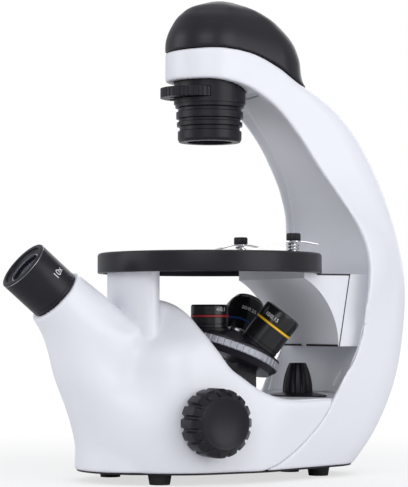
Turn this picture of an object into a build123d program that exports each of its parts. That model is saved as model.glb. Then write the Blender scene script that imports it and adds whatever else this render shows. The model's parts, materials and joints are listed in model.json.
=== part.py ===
"""Inverted microscope for a school or home bench.

The stage is fixed and the lamp shines down through it.  Three objectives on a tilted
turret look up from below, and the turret carriage moves up and down to focus.  A mirror
in the base folds the light into the inclined eyepiece tube.

Frame, in millimetres: +Z up, -Y the front where the eyepiece is, +Y the arm, X across.
The optical axis is the line x = 0, y = 0, and the bench is z = 0.
"""
from build123d import *
from math import atan2, cos, degrees, hypot, pi, radians, sin, sqrt, tan
import os

# Shells of the stand
wall = 2.5
fit = 0.2                    # gap between pieces that are slid together by hand
running = 0.05               # radial gap of a shaft in its bush
shell_bottom = 6.5           # lower edge of the white shells
open_margin = 3.0            # by which a room is cut past an open edge
split_width = 80.0           # reach of the block that divides left from right

# Light path
mirror_height = 21.7
eye_tilt = 40.0              # elevation of the eyepiece tube, degrees
mouth_distance = 123.8       # mirror centre to the mouth of the eyepiece tube
mouth_radius = 16.5
tube_flare = 4.0             # half angle by which the tube widens downwards, degrees
tube_length = 70.0

# Eyepiece
eye_head_radius = 15.0
eye_head_length = 25.0
eye_barrel_radius = 11.6     # standard 23.2 mm eyepiece
eye_barrel_length = 26.0
eye_barrel_wall = 0.9
eye_lens_radius = 9.0
eye_lens_depth = 5.0         # lens below the eye end of the head
sleeve_wall = 2.0
sleeve_length = 40.0
sleeve_radius = eye_barrel_radius + sleeve_wall
mirror_thickness = 2.0
mirror_half_width = 9.0
mirror_half_length = 11.0
mirror_foot_depth = 9.5

# Stage
stage_radius = 63.0
stage_bottom = 114.0
stage_thickness = 11.4
stage_plate_thickness = 4.0
stage_rim = 3.0
stage_edge_fillet = 1.8
stage_seat = 117.2           # underside of the bosses, on pillar and bracket
insert_radius = 20.5
insert_thickness = 3.0
insert_hole_radius = 10.0
insert_ledge = 3.0
insert_bevel = 0.4
boss_radius = 5.0
stage_screw_radius = 2.0
stage_screw_head = 3.5
stage_screw_places = ((16.0, -48.0), (-16.0, -48.0), (24.0, 47.0), (-24.0, 47.0))

# Pillar and bracket under the stage
pillar_y = -48.0
pillar_half_width = 25.5
pillar_half_depth = 10.0
pillar_foot = 84.0
bracket_half_width = 37.0
bracket_bottom = 73.3
bracket_root = 70.0          # where the bracket enters the recess of the arm

# Stage clips
clip_x = 30.0
clip_y = 37.0
clip_turn = 8.0              # leaf turned inwards, degrees
clip_post_radius = 1.6
clip_cap_radius = 4.0
clip_cap_height = 4.3
clip_cap_top = 136.4
leaf_thickness = 0.6
leaf_width = 5.0
leaf_tail = 14.0
leaf_reach = 32.0
leaf_hole_radius = 2.3
leaf_eye_radius = 4.2
leaf_clearance = 0.4         # tip of the leaf above the stage
clip_cap_flutes = 12
spring_wire = 0.45
spring_radius = 2.75
spring_turns = 3.0

# Turret
turret_tilt = 22.0           # turret axis leans back from the vertical, degrees
objective_lean_point = 38.6  # height where turret axis and optical axis cross
seat_distance = 44.9         # from that point to the seat of an objective
turret_radius = 29.0
grip_low = 31.5              # along the turret axis, from the crossing point
grip_high = 35.8
grip_wall = 2.4
seat_radius = 11.5
cone_top_radius = 7.0
base_bore = 9.0
base_low = 28.3
base_low_radius = 25.5
turret_gap = 0.3
objective_count = 3
grip_teeth = 48
axle_radius = 3.0
axle_head_radius = 5.0
objective_places = (0, 1, 2)

# Objectives: power, barrel radius, length from the seat, tip radius, tip taper length
objectives = (
    ("4x", 10.6, 13.2, 10.0, 0.8),
    ("10x", 11.2, 23.3, 9.2, 1.5),
    ("20x", 11.0, 28.0, 7.6, 9.0),
)
thread_radius = 9.0
thread_length = 3.0
front_lens_radius = 4.0
objective_bore = 5.0

# Focus drive
knob_y = -27.0
knob_z = 33.5
knob_outer_face = 68.0
knob_length = 17.5
knob_radius = 18.4
knob_face_radius = 14.0
knob_lobes = 16
knob_flute = 2.0
shaft_radius = 2.5
shaft_half_length = 62.0
bush_radius = 4.2
bush_length = 8.0
side_boss_root = 35.0
side_boss_radius = 14.0
side_boss_face = 49.0
pinion_teeth = 10
tooth_module = 0.8
tooth_backlash = 0.3
rack_x = 20.0
rack_width = 6.0
rack_low = 24.0
rack_high = 43.0
rack_back = 4.0
pressure_angle = 20.0
rack_face = knob_y + tooth_module * pinion_teeth / 2 + 0.1

# Carriage of the turret
rod_x = 17.0
rod_y = 19.0
rod_radius = 2.0
carriage_half_width = 24.0
carriage_low = 20.0
carriage_high = 35.0
carriage_half_depth = 7.0
stem_half_width = 9.0
stem_half_depth = 6.0
deck_opening_half_width = 13.0
deck_opening_front = -11.0
deck_opening_back = 28.0

# Base
plate_bottom = 5.6
plate_inset = 1.0
plate_thickness = 2.9
foot_radius_top = 6.5
foot_radius_bottom = 5.5
feet = (("front_left", -30.5, -47.0), ("front_right", 30.5, -47.0),
        ("rear_left", -16.0, 61.5), ("rear_right", 16.0, 61.5))
foot_screw_radius = 3.2
foot_screw_depth = 2.4
foot_head = 1.8
foot_pin_radius = 1.5
seam_room_front = -5.0

# Shelf with the brightness control
shelf_top = 44.4
shelf_thickness = 2.5
shelf_front = 15.0
dimmer_y = 57.5
dimmer_radius = 8.6
dimmer_top_radius = 4.7
dimmer_height = 17.5
dimmer_flutes = 12
dimmer_skirt_radius = 12.0
dimmer_skirt = 1.3
dimmer_shaft_radius = 3.0
dimmer_body_size = 16.0
dimmer_body_height = 8.0
dimmer_gap = 0.3
dimmer_flute_lean = 9.0

# Head, cap and lamp
head_bottom = 221.5
cap_wall = 2.2
cap_gap = 0.3
lamp_radius = 20.2
lamp_low = 209.5
lamp_flange = 225.6
lamp_flange_radius = 22.2
lamp_cup_height = 229.0
lamp_cup_radius = 18.5
lamp_bore = 8.0
wheel_radius = 17.8
wheel_y = -11.3
wheel_low = 212.4
wheel_high = 217.8
wheel_teeth = 40
wheel_holes = (5.0, 4.2, 3.4, 2.6, 1.8, 1.1)
wheel_gap = 0.4
wheel_axle_radius = 1.5
condenser_low = 188.0
condenser_bore = 12.7
condenser_lens_height = 197.0
condenser_lens_thickness = 4.0
led_radius = 2.5
board_radius = 16.0
board_thickness = 1.6

# Power inlet on the back of the arm
inlet_z = 26.0
inlet_radius = 5.5
inlet_bore = 2.9
inlet_pocket_radius = 6.6
inlet_face = 100.0
inlet_length = 12.0
inlet_boss_depth = 4.0
cover_heights = (46.0, 175.0)

# Horizontal sections of the stand, each around three circles on the centre line: height,
# foremost y, nose radius, centre and radius of the widest circle, rearmost y, rear radius
stand_sections = (
    (6.5, -82.0, 38.0, 0.0, 50.2, 89.0, 32.0),
    (20.0, -82.3, 36.5, 4.0, 49.9, 100.0, 34.0),
    (40.0, -87.5, 31.0, 16.0, 49.8, 111.5, 36.0),
    (58.0, -95.0, 22.0, 30.0, 49.6, 118.0, 38.0),
    (79.0, -101.5, 16.5, 46.0, 49.8, 121.8, 39.0),
    (100.0, -106.0, 14.0, 60.0, 49.8, 123.7, 39.0),
    (118.0, -85.0, 15.0, 66.0, 48.8, 123.0, 38.0),
    (134.0, -65.0, 17.0, 66.0, 45.0, 120.2, 35.0),
    (156.0, -48.0, 20.0, 56.0, 35.0, 113.5, 30.0),
    (170.0, -38.0, 22.0, 45.0, 29.0, 107.6, 26.5),
    (185.0, -30.0, 23.5, 30.0, 26.0, 99.5, 24.0),
    (200.0, -26.0, 24.5, 12.0, 25.1, 88.3, 23.0),
    (212.0, -25.0, 24.8, 4.0, 25.0, 75.0, 23.0),
    (223.0, -25.0, 24.8, 4.0, 25.0, 60.0, 22.5),
    (242.0, -25.0, 24.8, 4.0, 25.0, 53.0, 22.0),
)
# Wide part of the front body: height, foremost and rearmost y, half width, corner radius
flank_sections = (
    (6.5, -70.0, 46.5, 50.3, 46.5), (20.0, -71.0, 47.0, 49.9, 43.0),
    (35.0, -66.0, 51.0, 49.6, 38.0), (56.0, -57.0, 52.0, 47.5, 26.0),
    (72.0, -53.0, 54.0, 45.0, 22.0), (85.0, -50.0, 60.0, 40.0, 18.0),
    (99.0, -49.0, 66.0, 31.0, 14.0), (112.0, -49.0, 70.0, 27.0, 12.0),
)
web_sections = 7             # sections of the stand that the web follows
web_length = 45.0            # reach of the narrow web behind the nose of the body
web_growth = 4.0             # by which its half width grows over that length
# Cap: height, y of the front circle, its radius, y of the rear circle, its radius
cap_sections = (
    (205.0, 0.0, 25.2, 50.0, 25.2), (215.0, 0.0, 25.2, 44.0, 25.0),
    (223.0, 0.0, 25.2, 38.0, 24.0), (238.0, 0.0, 25.2, 33.5, 22.5),
    (246.0, 0.0, 24.6, 31.0, 20.2), (253.5, 0.5, 22.0, 27.0, 17.4),
    (260.0, 1.5, 18.2, 22.0, 14.0), (265.0, 3.5, 12.6, 15.5, 9.4),
    (267.8, 6.0, 5.5, 10.0, 4.5),
)
# Recess along the inner face of the arm: height, centre y, half width, depth
channel_sections = (
    (40.0, 54.0, 44.0, 17.0), (66.0, 65.3, 44.3, 14.0), (88.0, 72.5, 44.3, 13.0),
    (108.0, 76.2, 44.0, 13.0), (126.0, 76.6, 42.0, 12.5), (143.0, 73.0, 36.0, 11.5),
    (160.0, 65.0, 28.0, 9.5), (177.0, 54.0, 21.0, 6.0),
)
# Inner edge of the arm from the base to the head, seen from the side, (y, z)
crescent = (
    (6.0, 6.5), (18.3, 10.3), (36.7, 21.4), (49.5, 34.0), (56.3, 45.0), (65.2, 65.8),
    (72.5, 88.0), (76.2, 108.0), (76.6, 126.0), (72.9, 143.0), (65.0, 160.0),
    (54.5, 177.0), (45.8, 190.0), (29.2, 207.9), (12.8, 217.4), (-4.0, 221.3),
    (-30.0, 221.5),
)
seam_points = crescent[:5]
seam_lap = 3.0               # by which the raw body passes the seam before it is cut
seam_gap = 0.1
# Edge between head and cap, seen from the side
cap_edge = ((-30.0, 238.0), (0.0, 238.6), (17.0, 235.2), (33.0, 228.3), (48.0, 220.0),
            (74.0, 204.0))
# Rear edge of the front body: shoulder behind the pillar, slope under the turret, shelf
deck_edge = ((-44.0, 99.0), (-33.0, 97.6), (-25.5, 93.0), (-21.5, 81.5),
             (-16.0, 71.0), (-10.0, 61.7), (-4.0, 56.8), (6.0, 50.6), (17.5, 45.6),
             (27.0, 44.6))
# Rise from the eyepiece tube to the pillar, seen from the side
shoulder_edge = ((-72.0, 82.0), (-62.0, 83.0), (-53.0, 89.0), (-48.0, 95.5))
# Front edge of the bracket under the stage
bracket_edge = ((39.7, 111.3), (50.5, 103.0), (58.8, 90.0), (62.0, bracket_bottom))

far = 200.0
stage_top = stage_bottom + stage_thickness
turret_axis = (0.0, sin(radians(turret_tilt)), cos(radians(turret_tilt)))
eye_axis = (0.0, -cos(radians(eye_tilt)), sin(radians(eye_tilt)))


def on_eye_axis(distance):
    """Plane across the eyepiece axis, its distance counted from the mirror."""
    place = (0.0, eye_axis[1] * distance, mirror_height + eye_axis[2] * distance)
    return Plane(origin=place, x_dir=(1, 0, 0), z_dir=eye_axis)


def on_turret_axis(distance):
    """Plane across the turret axis, its distance counted from the crossing point."""
    place = (0.0, turret_axis[1] * distance,
             objective_lean_point + turret_axis[2] * distance)
    return Plane(origin=place, x_dir=(1, 0, 0), z_dir=turret_axis)


def ring_about(plane, profile):
    """Solid of revolution about the plane's normal from (radius, height) points."""
    face = make_face(Polyline(*profile, close=True))
    return plane * revolve(Plane.XZ * face, Axis.Z)


def across(edges, half_width=split_width):
    """Side outline in (y, z), given as edges, extruded to both sides of x = 0."""
    return extrude(make_face(Plane.YZ * Curve(edges)), amount=half_width, both=True)


def outline(points, half_width=split_width):
    """Closed straight outline in (y, z), extruded to both sides of x = 0."""
    return extrude(make_face(Plane.YZ * Polyline(*points, close=True)),
                   amount=half_width, both=True)


def block(x_range, y_range, z_range):
    """Block between the given limits."""
    sizes = [high - low for low, high in (x_range, y_range, z_range)]
    middle = [(high + low) / 2 for low, high in (x_range, y_range, z_range)]
    return Pos(*middle) * Box(*sizes)


def upright(x, y, low, high, radius):
    """Upright round bar between two heights."""
    return Pos(x, y, (low + high) / 2) * Cylinder(radius, high - low)


def lengthways(y, z, low, high, radius):
    """Round bar along X between two places."""
    return Pos((low + high) / 2, y, z) * Rot(0, 90, 0) * Cylinder(radius, high - low)


def two_circle_face(z, y_front, r_front, y_back, r_back):
    """Flat face around two circles on the centre line, joined by their tangents."""
    lean = (r_front - r_back) / (y_back - y_front)
    side = sqrt(1 - lean * lean)
    front = (r_front * side, y_front + r_front * lean)
    back = (r_back * side, y_back + r_back * lean)
    edges = [
        ThreePointArc((-front[0], front[1]), (0, y_front - r_front), front),
        Line(front, back),
        ThreePointArc(back, (0, y_back + r_back), (-back[0], back[1])),
        Line((-back[0], back[1]), (-front[0], front[1])),
    ]
    return Pos(0, 0, z) * make_face(Curve(edges))


def three_circle_face(z, tip, r_tip, y_mid, r_mid, back, r_back):
    """Flat face around three circles on the centre line, joined by their tangents."""
    y_tip, y_back = tip + r_tip, back - r_back
    lean_1 = (r_tip - r_mid) / (y_mid - y_tip)
    lean_2 = (r_mid - r_back) / (y_back - y_mid)
    side_1, side_2 = sqrt(1 - lean_1 ** 2), sqrt(1 - lean_2 ** 2)
    lean_m = (lean_1 + lean_2) / 2
    side_m = sqrt(1 - lean_m ** 2)
    p1 = (r_tip * side_1, y_tip + r_tip * lean_1)
    p2 = (r_mid * side_1, y_mid + r_mid * lean_1)
    pm = (r_mid * side_m, y_mid + r_mid * lean_m)
    p3 = (r_mid * side_2, y_mid + r_mid * lean_2)
    p4 = (r_back * side_2, y_back + r_back * lean_2)
    q1, q2, qm, q3, q4 = [(-x, y) for x, y in (p1, p2, pm, p3, p4)]
    edges = [
        ThreePointArc(q1, (0, tip), p1), Line(p1, p2), ThreePointArc(p2, pm, p3),
        Line(p3, p4), ThreePointArc(p4, (0, back), q4), Line(q4, q3),
        ThreePointArc(q3, qm, q2), Line(q2, q1),
    ]
    return Pos(0, 0, z) * make_face(Curve(edges))


def level(z, inset):
    """Height of a section: inner forms reach below the open underside."""
    return z - open_margin if inset and z == shell_bottom else z


def stand_form(inset):
    """Smooth outer form of base, arm and head, drawn in by a wall."""
    return loft([three_circle_face(level(z, inset), tip + inset, r1 - inset, ym,
                                   rm - inset, back - inset, r2 - inset)
                 for z, tip, r1, ym, rm, back, r2 in stand_sections])


def flank_face(z, front, back, half, corner, inset):
    """Level section of the wide part of the front body."""
    return Pos(0, (front + back) / 2, z) * RectangleRounded(
        2 * (half - inset), back - front - 2 * inset, corner - inset)


def nose_face(z, tip, r_tip, inset):
    """Level section of the narrow web behind the front edge."""
    return two_circle_face(z, tip + r_tip, r_tip - inset,
                           tip + r_tip + web_length, r_tip + web_growth - inset)


def body_form(inset):
    """Outer form of the front body: narrow nose, wide flanks, rear of the stand."""
    flank = loft([flank_face(level(row[0], inset), *row[1:], inset)
                  for row in flank_sections])
    nose = loft([nose_face(level(row[0], inset), row[1], row[2], inset)
                 for row in stand_sections[:web_sections]])
    return flank + nose + (stand_form(inset) & behind_axis)


def channel(grow):
    """Space of the recess along the inner face of the arm."""
    rows = [Pos(0, y, z) * Ellipse(a + grow, b + grow) for z, y, a, b in channel_sections]
    return loft(rows)


def arm_side(inset):
    """Side view of the arm as a slab: everything behind the crescent edge."""
    points = [(y + inset, z) if z < 200 else (y, z + inset) for y, z in crescent]
    top = [(y, z - max(inset, 0)) for y, z in cap_edge]
    start, end = points[0], points[-1]
    below = start[1] - 3 * max(inset, 0)
    edges = [
        Spline(*points),
        Line(end, top[0]),
        Spline(*top),
        Polyline(top[-1], (far, top[-1][1]), (far, below), (start[0], below), start)
        if below < start[1] else
        Polyline(top[-1], (far, top[-1][1]), (far, below), start),
    ]
    return across(edges)


def body_side(inset):
    """Side view of the front body as a slab, without the eyepiece tube."""
    mouth = on_eye_axis(mouth_distance - inset).origin
    bottom = shell_bottom - 3 * inset
    front = mouth.Y - (mouth.Z - inset - bottom) * tan(radians(eye_tilt))
    rows = [(y - 0.6 * inset, z - inset) for y, z in shoulder_edge + deck_edge]
    lap = -inset if inset else seam_lap
    seam = [(y + lap, z) for y, z in reversed(seam_points)]
    return outline([(front, bottom), (mouth.Y, mouth.Z - inset)]
        + rows + [(seam[0][0], rows[-1][1])] + seam[1:-1] + [(seam[-1][0], bottom)])


def tube_form(inset):
    """Outer form of the eyepiece tube, widening towards the base."""
    wide = mouth_radius + tube_length * tan(radians(tube_flare))
    middle = on_eye_axis(mouth_distance - tube_length / 2)
    return middle * Cone(wide - inset, mouth_radius - inset, tube_length)


def pillar_form(inset):
    """Flat oval pillar that carries the front of the stage."""
    face = Ellipse(pillar_half_width - inset, pillar_half_depth - inset)
    height = stage_seat - pillar_foot - inset
    return Pos(0, pillar_y, pillar_foot) * extrude(face, amount=height)


def lower_block(front):
    """Block below the shelf, where base and arm share one room."""
    return block((-split_width, split_width), (front, far),
                 (-far, shelf_top - shelf_thickness - wall))


def lengthways_y(x, z, low, high, radius):
    """Round bar along Y between two places."""
    return Pos(x, (low + high) / 2, z) * Rot(90, 0, 0) * Cylinder(radius, high - low)


def mirrored(solid):
    """The same solid on the other side of the middle plane."""
    return mirror(solid, about=Plane.YZ)


right_side = block((0, split_width), (-far, far), (-far, 2 * far))
behind_axis = block((-far, far), (0, far), (-far, far))
outer_half = stand_form(0) & right_side
inner_half = stand_form(wall) & right_side
body_outer_half = body_form(0) & right_side
body_inner_half = body_form(wall) & right_side


def base_shell():
    """Right half of the white lower body: eyepiece tube, pillar, sloping deck."""
    shell = (body_outer_half & body_side(0)) - arm_side(-seam_gap)
    shell += tube_form(0) & right_side
    shell += pillar_form(0) & right_side
    shell += lengthways(knob_y, knob_z, side_boss_root, side_boss_face,
                        side_boss_radius)
    shell -= body_inner_half & (body_side(wall) + lower_block(seam_room_front))
    shell -= tube_form(wall)
    shell -= pillar_form(wall)
    shell -= on_eye_axis(mouth_distance - sleeve_length / 2) * Cylinder(
        sleeve_radius + fit / 2, sleeve_length + 20)
    shell -= block((-far, deck_opening_half_width),
                   (deck_opening_front, deck_opening_back), (shelf_top - 6, 75))
    shell -= body_inner_half & block((-far, far), (shelf_front, far),
                                     (shelf_top - 6, shelf_top + 5))
    shell -= lengthways(knob_y, knob_z, 0, far, bush_radius)
    shell -= upright(stage_screw_places[0][0], pillar_y, stage_seat - 12,
                     stage_seat + 1, stage_screw_radius + running)
    return shell


def arm_pieces():
    """Right half of the curved arm with the head, and half of its inner cover."""
    outer = (outer_half & arm_side(0)) - channel(0)
    room = (inner_half & (arm_side(wall) + lower_block(seam_room_front)))
    room -= channel(wall)
    shell = outer - room
    cut = channel(wall) & block((-far, far), (-far, far), cover_heights)
    cover = shell & cut
    shell -= cut
    shell -= upright(0, 0, lamp_low - 1, head_bottom + 8, lamp_radius + fit / 2)
    shell -= upright(0, 0, head_bottom + wall, head_bottom + 8,
                     lamp_flange_radius + fit / 2)
    shell -= block((-far, dimmer_body_size / 2 + 1),
                   (dimmer_y - dimmer_body_size / 2 - 1,
                    dimmer_y + dimmer_body_size / 2 + 1),
                   (shelf_top - shelf_thickness - dimmer_body_height, shelf_top - 1))
    boss = lengthways_y(0, inlet_z, inlet_face - inlet_boss_depth, 130,
                        inlet_pocket_radius + wall)
    shell += boss & outer_half
    shell -= lengthways_y(0, inlet_z, inlet_face, 140, inlet_pocket_radius)
    shell -= lengthways_y(0, inlet_z, 80, 140, inlet_radius + fit / 2)
    return shell, cover


def rear_shelf():
    """Flat shelf between the side walls that carries the brightness control."""
    inside = stand_form(wall + fit) & block(
        (-far, far), (shelf_front + fit, far), (shelf_top - shelf_thickness, shelf_top))
    front = block((-far, far), (-far, channel_sections[0][1]), (0, far))
    shelf = inside & (front + channel(-fit))
    shelf -= block((-deck_opening_half_width, deck_opening_half_width),
                   (-far, deck_opening_back), (0, far))
    return shelf - upright(0, dimmer_y, 0, far, dimmer_shaft_radius + fit)


def stage_bracket():
    """Hollow bracket on the arm, with a hollowed front, under the rear of the stage."""
    def form(inset):
        top = stage_seat - inset
        edge = [(y + inset, z) for y, z in bracket_edge]
        edge[-1] = (edge[-1][0], bracket_bottom + inset)
        edges = [Polyline((far, edge[-1][1]), (far, top), (edge[0][0], top), edge[0]),
                 Spline(*edge), Line(edge[-1], (far, edge[-1][1]))]
        slab = across(edges, bracket_half_width - inset)
        reach = block((-far, far), (-far, bracket_root), (0, far))
        return slab & (reach + channel(-fit))
    def rim_space(grow):
        inner = stage_radius - stage_rim - fit - grow
        low = stage_bottom - fit - grow
        return ring_about(Plane.XY, [(inner, low), (far, low), (far, stage_top),
                                     (inner, stage_top)])
    bracket = (form(0) - rim_space(0)) - (form(wall) - rim_space(wall))
    for x, y in stage_screw_places[2:]:
        bracket -= upright(x, y, stage_seat - 5, stage_seat + 1,
                           stage_screw_radius + running)
    return bracket


def base_plate():
    """Black bottom plate, let into the shells, with a flange under their edge."""
    top = plate_bottom + plate_thickness

    def sheet(inset, low, high):
        z, tip, r1, ym, rm, back, r2 = stand_sections[0]
        rear = three_circle_face(low, tip + inset, r1 - inset, ym, rm - inset,
                                 back - inset, r2 - inset)
        rear = extrude(rear, amount=high - low) & behind_axis
        flank = extrude(flank_face(low, *flank_sections[0][1:], inset),
                        amount=high - low)
        return flank + rear + extrude(nose_face(low, tip, r1, inset),
                                      amount=high - low)
    plate = sheet(plate_inset, plate_bottom, shell_bottom - fit)
    plate += sheet(wall + plate_inset, shell_bottom - fit, top)
    for name, x, y in feet:
        plate -= upright(x, y, 0, 20, foot_pin_radius + running)
    return plate


def foot(x, y):
    """Tapered rubber foot with a recess for its screw."""
    body = Pos(x, y, plate_bottom / 2) * Cone(foot_radius_bottom, foot_radius_top,
                                              plate_bottom)
    body -= upright(x, y, -1, foot_screw_depth, foot_screw_radius + fit)
    return body - upright(x, y, 0, 20, foot_pin_radius + running)


def foot_screws():
    """Pan head screws that hold the feet and the bottom plate."""
    screws = Part()
    for name, x, y in feet:
        screws += upright(x, y, foot_screw_depth - foot_head, foot_screw_depth,
                          foot_screw_radius)
        screws += upright(x, y, foot_screw_depth, plate_bottom + plate_thickness,
                          foot_pin_radius)
    return screws


def folding_mirror():
    """Front surface mirror that turns the light into the eyepiece tube."""
    lean = (90 - eye_tilt) / 2
    plane = Plane(origin=(0, 0, mirror_height), x_dir=(1, 0, 0),
                  z_dir=(0, -sin(radians(lean)), cos(radians(lean))))
    glass = plane * Pos(0, 0, -mirror_thickness / 2) * Box(
        2 * mirror_half_width, 2 * mirror_half_length, mirror_thickness)
    under = plane * Pos(0, 0, -mirror_thickness - 50) * Box(100, 100, 100)
    wedge = block((-mirror_half_width, mirror_half_width),
                  (-mirror_foot_depth, mirror_foot_depth),
                  (plate_bottom + plate_thickness, mirror_height + 20)) & under
    return glass, wedge


def stage_plate():
    """Round stage with a rim, a seat for the insert and bosses underneath."""
    plate_low = stage_top - stage_plate_thickness
    ledge_z = stage_top - insert_thickness
    pocket = insert_radius + fit / 2
    stage = ring_about(Plane.XY, [
        (insert_radius - insert_ledge, stage_seat), (insert_radius + 3, stage_seat),
        (insert_radius + 3, plate_low), (stage_radius - stage_rim, plate_low),
        (stage_radius - stage_rim, stage_bottom), (stage_radius, stage_bottom),
        (stage_radius, stage_top), (pocket, stage_top), (pocket, ledge_z),
        (insert_radius - insert_ledge, ledge_z)])
    rim = stage.edges().filter_by(GeomType.CIRCLE).filter_by(
        lambda e: abs(e.radius - stage_radius) < 0.01).sort_by(Axis.Z)[-1]
    stage = fillet(rim, stage_edge_fillet)
    for x, y in stage_screw_places:
        stage += upright(x, y, stage_seat, plate_low + 0.5, boss_radius)
        stage -= upright(x, y, stage_seat - 1, plate_low, stage_screw_radius + running)
    for side in (-1, 1):
        stage -= upright(side * clip_x, clip_y, plate_low - 1, stage_top + 1,
                         clip_post_radius)
    return stage


def stage_screws():
    """Screws that pull the stage down on pillar and bracket, from below."""
    screws = Part()
    for x, y in stage_screw_places:
        screws += upright(x, y, stage_seat - wall - 2, stage_seat - wall,
                          stage_screw_head)
        screws += upright(x, y, stage_seat - wall, stage_top - stage_plate_thickness,
                          stage_screw_radius)
    return screws


def stage_insert():
    """Loose ring in the middle of the stage, under the specimen."""
    ledge_z = stage_top - insert_thickness
    return ring_about(Plane.XY, [
        (insert_hole_radius, ledge_z), (insert_radius, ledge_z),
        (insert_radius, stage_top - insert_bevel),
        (insert_radius - insert_bevel, stage_top),
        (insert_hole_radius + insert_bevel, stage_top),
        (insert_hole_radius, stage_top - insert_bevel)])


def at_clip(side):
    """Place of one stage clip, its leaf pointing to the front and slightly inwards."""
    return Pos(side * clip_x, clip_y, 0) * Rot(0, 0, -side * clip_turn)


def clip_post(side):
    """Stud that stands in the stage."""
    return at_clip(side) * upright(0, 0, stage_top - stage_plate_thickness,
                                   clip_cap_top - 1, clip_post_radius)


def clip_leaf(side):
    """Sprung leaf: tail to press, flat under the cap, tip turned up on the stage."""
    over = clip_cap_top - clip_cap_height
    under = over - leaf_thickness
    touch = stage_top + leaf_clearance
    tail_drop = 1.4
    tip = (-leaf_reach, touch + 1.8)
    foot_y = -leaf_reach + 4.5
    bottom = [(leaf_tail, under - tail_drop), (5, under), (-5, under),
              (foot_y, touch), tip]
    top = [(y, z + leaf_thickness) for y, z in reversed(bottom)]
    strip = extrude(make_face(Plane.YZ * Polyline(*bottom, *top, close=True)),
                    amount=leaf_width / 2, both=True)
    strip += upright(0, 0, under, over, leaf_eye_radius)
    strip -= upright(0, 0, under - 1, over + 1, leaf_hole_radius)
    return at_clip(side) * strip


def clip_cap(side):
    """Knurled nut on top of the stud."""
    low = clip_cap_top - clip_cap_height
    cap = ring_about(Plane.XY, [
        (0, low), (clip_cap_radius, low), (clip_cap_radius, clip_cap_top - 0.6),
        (clip_cap_radius - 0.6, clip_cap_top), (0, clip_cap_top)])
    for k in range(clip_cap_flutes):
        angle = 2 * pi * k / clip_cap_flutes
        out = clip_cap_radius + 0.25
        cap -= upright(out * cos(angle), out * sin(angle), low - 1, clip_cap_top + 1,
                       0.55)
    cap -= upright(0, 0, low - 1, clip_cap_top - 0.9, clip_post_radius + running)
    return at_clip(side) * cap


def clip_spring(side):
    """Coil spring between stage and leaf."""
    low = stage_top + spring_wire
    high = clip_cap_top - clip_cap_height - leaf_thickness - spring_wire - 0.1
    path = Helix(pitch=(high - low) / spring_turns, height=high - low,
                 radius=spring_radius)
    start = Plane(origin=path @ 0, z_dir=path % 0)
    wire = sweep(start * Circle(spring_wire), path=path)
    return at_clip(side) * Pos(0, 0, low) * wire


def cone_height(radius):
    """Height along the turret axis of the cone that holds the seats."""
    lean = radians(turret_tilt)
    seat_radius = seat_distance * sin(lean)
    return seat_distance * cos(lean) + (seat_radius - radius) * tan(lean)


def around_turret(solid, index):
    """The solid moved to one of the objective places of the turret."""
    axis = Axis((0, 0, objective_lean_point), turret_axis)
    return solid.rotate(axis, index * 360 / objective_count)


def nosepiece_turret():
    """Black rotating cone with a seat and a threaded hole for each objective."""
    crossing = on_turret_axis(0)
    edge = turret_radius - 0.4
    hub = axle_radius + 3
    floor = grip_low + 0.2
    skin = 3.0
    body = ring_about(crossing, [
        (axle_radius + running, floor), (edge - grip_wall, floor),
        (edge - grip_wall, grip_high), (edge, grip_high), (edge, cone_height(edge)),
        (cone_top_radius, cone_height(cone_top_radius)),
        (axle_radius + running, cone_height(cone_top_radius))])
    body -= ring_about(crossing, [
        (hub, floor - 1), (edge - grip_wall - skin, floor - 1),
        (edge - grip_wall - skin, cone_height(edge - grip_wall - skin) - skin),
        (hub, cone_height(hub) - skin)])
    low = objective_lean_point + seat_distance
    for k in range(objective_count):
        body += around_turret(upright(0, 0, low - 4.5, low, seat_radius), k)
    body -= ring_about(crossing, [
        (edge - grip_wall, 0), (far, 0), (far, grip_high), (edge - grip_wall, grip_high)])
    for k in range(objective_count):
        body -= around_turret(upright(0, 0, low - 12, low + 1,
                                      thread_radius + running), k)
    return body


def turret_grip():
    """Ridged bright ring by which the turret is turned."""
    inner = turret_radius - 0.4 - grip_wall
    ring = ring_about(on_turret_axis(0), [
        (inner, grip_low), (turret_radius - 0.5, grip_low),
        (turret_radius, grip_low + 0.5), (turret_radius, grip_high - 0.5),
        (turret_radius - 0.5, grip_high), (inner, grip_high)])
    for k in range(grip_teeth):
        angle = 2 * pi * k / grip_teeth
        out = turret_radius + 0.35
        ring -= on_turret_axis((grip_low + grip_high) / 2) * Pos(
            out * cos(angle), out * sin(angle), 0) * Cylinder(0.7, 10)
    return ring


def objective(power, barrel, length, tip, taper):
    """Objective in the working place, its thread in the turret."""
    seat = objective_lean_point + seat_distance
    front = seat + length
    return ring_about(Plane.XY, [
        (objective_bore, seat - thread_length), (thread_radius, seat - thread_length),
        (thread_radius, seat), (barrel, seat), (barrel, front - taper),
        (tip, front), (front_lens_radius, front), (front_lens_radius, front - 3),
        (objective_bore, front - 3)])


def objective_lens(length):
    """Front lens set in the tip of an objective."""
    front = objective_lean_point + seat_distance + length
    return upright(0, 0, front - 2, front - 0.6, front_lens_radius)


def nosepiece_base():
    """Fixed black plate under the turret, with the hole for the light."""
    plate = ring_about(on_turret_axis(0), [
        (axle_radius, base_low), (base_low_radius, base_low),
        (turret_radius - 0.5, grip_low - turret_gap),
        (axle_radius, grip_low - turret_gap)])
    return plate - upright(0, 0, 50, 110, base_bore)


def turret_axle():
    """Shouldered screw on which the turret turns."""
    top = cone_height(cone_top_radius)
    return ring_about(on_turret_axis(0), [
        (0, base_low), (axle_radius, base_low), (axle_radius, top + turret_gap),
        (axle_head_radius, top + turret_gap), (axle_head_radius, top + 1.6),
        (axle_head_radius - 1, top + 2.4), (0, top + 2.4)])


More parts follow.
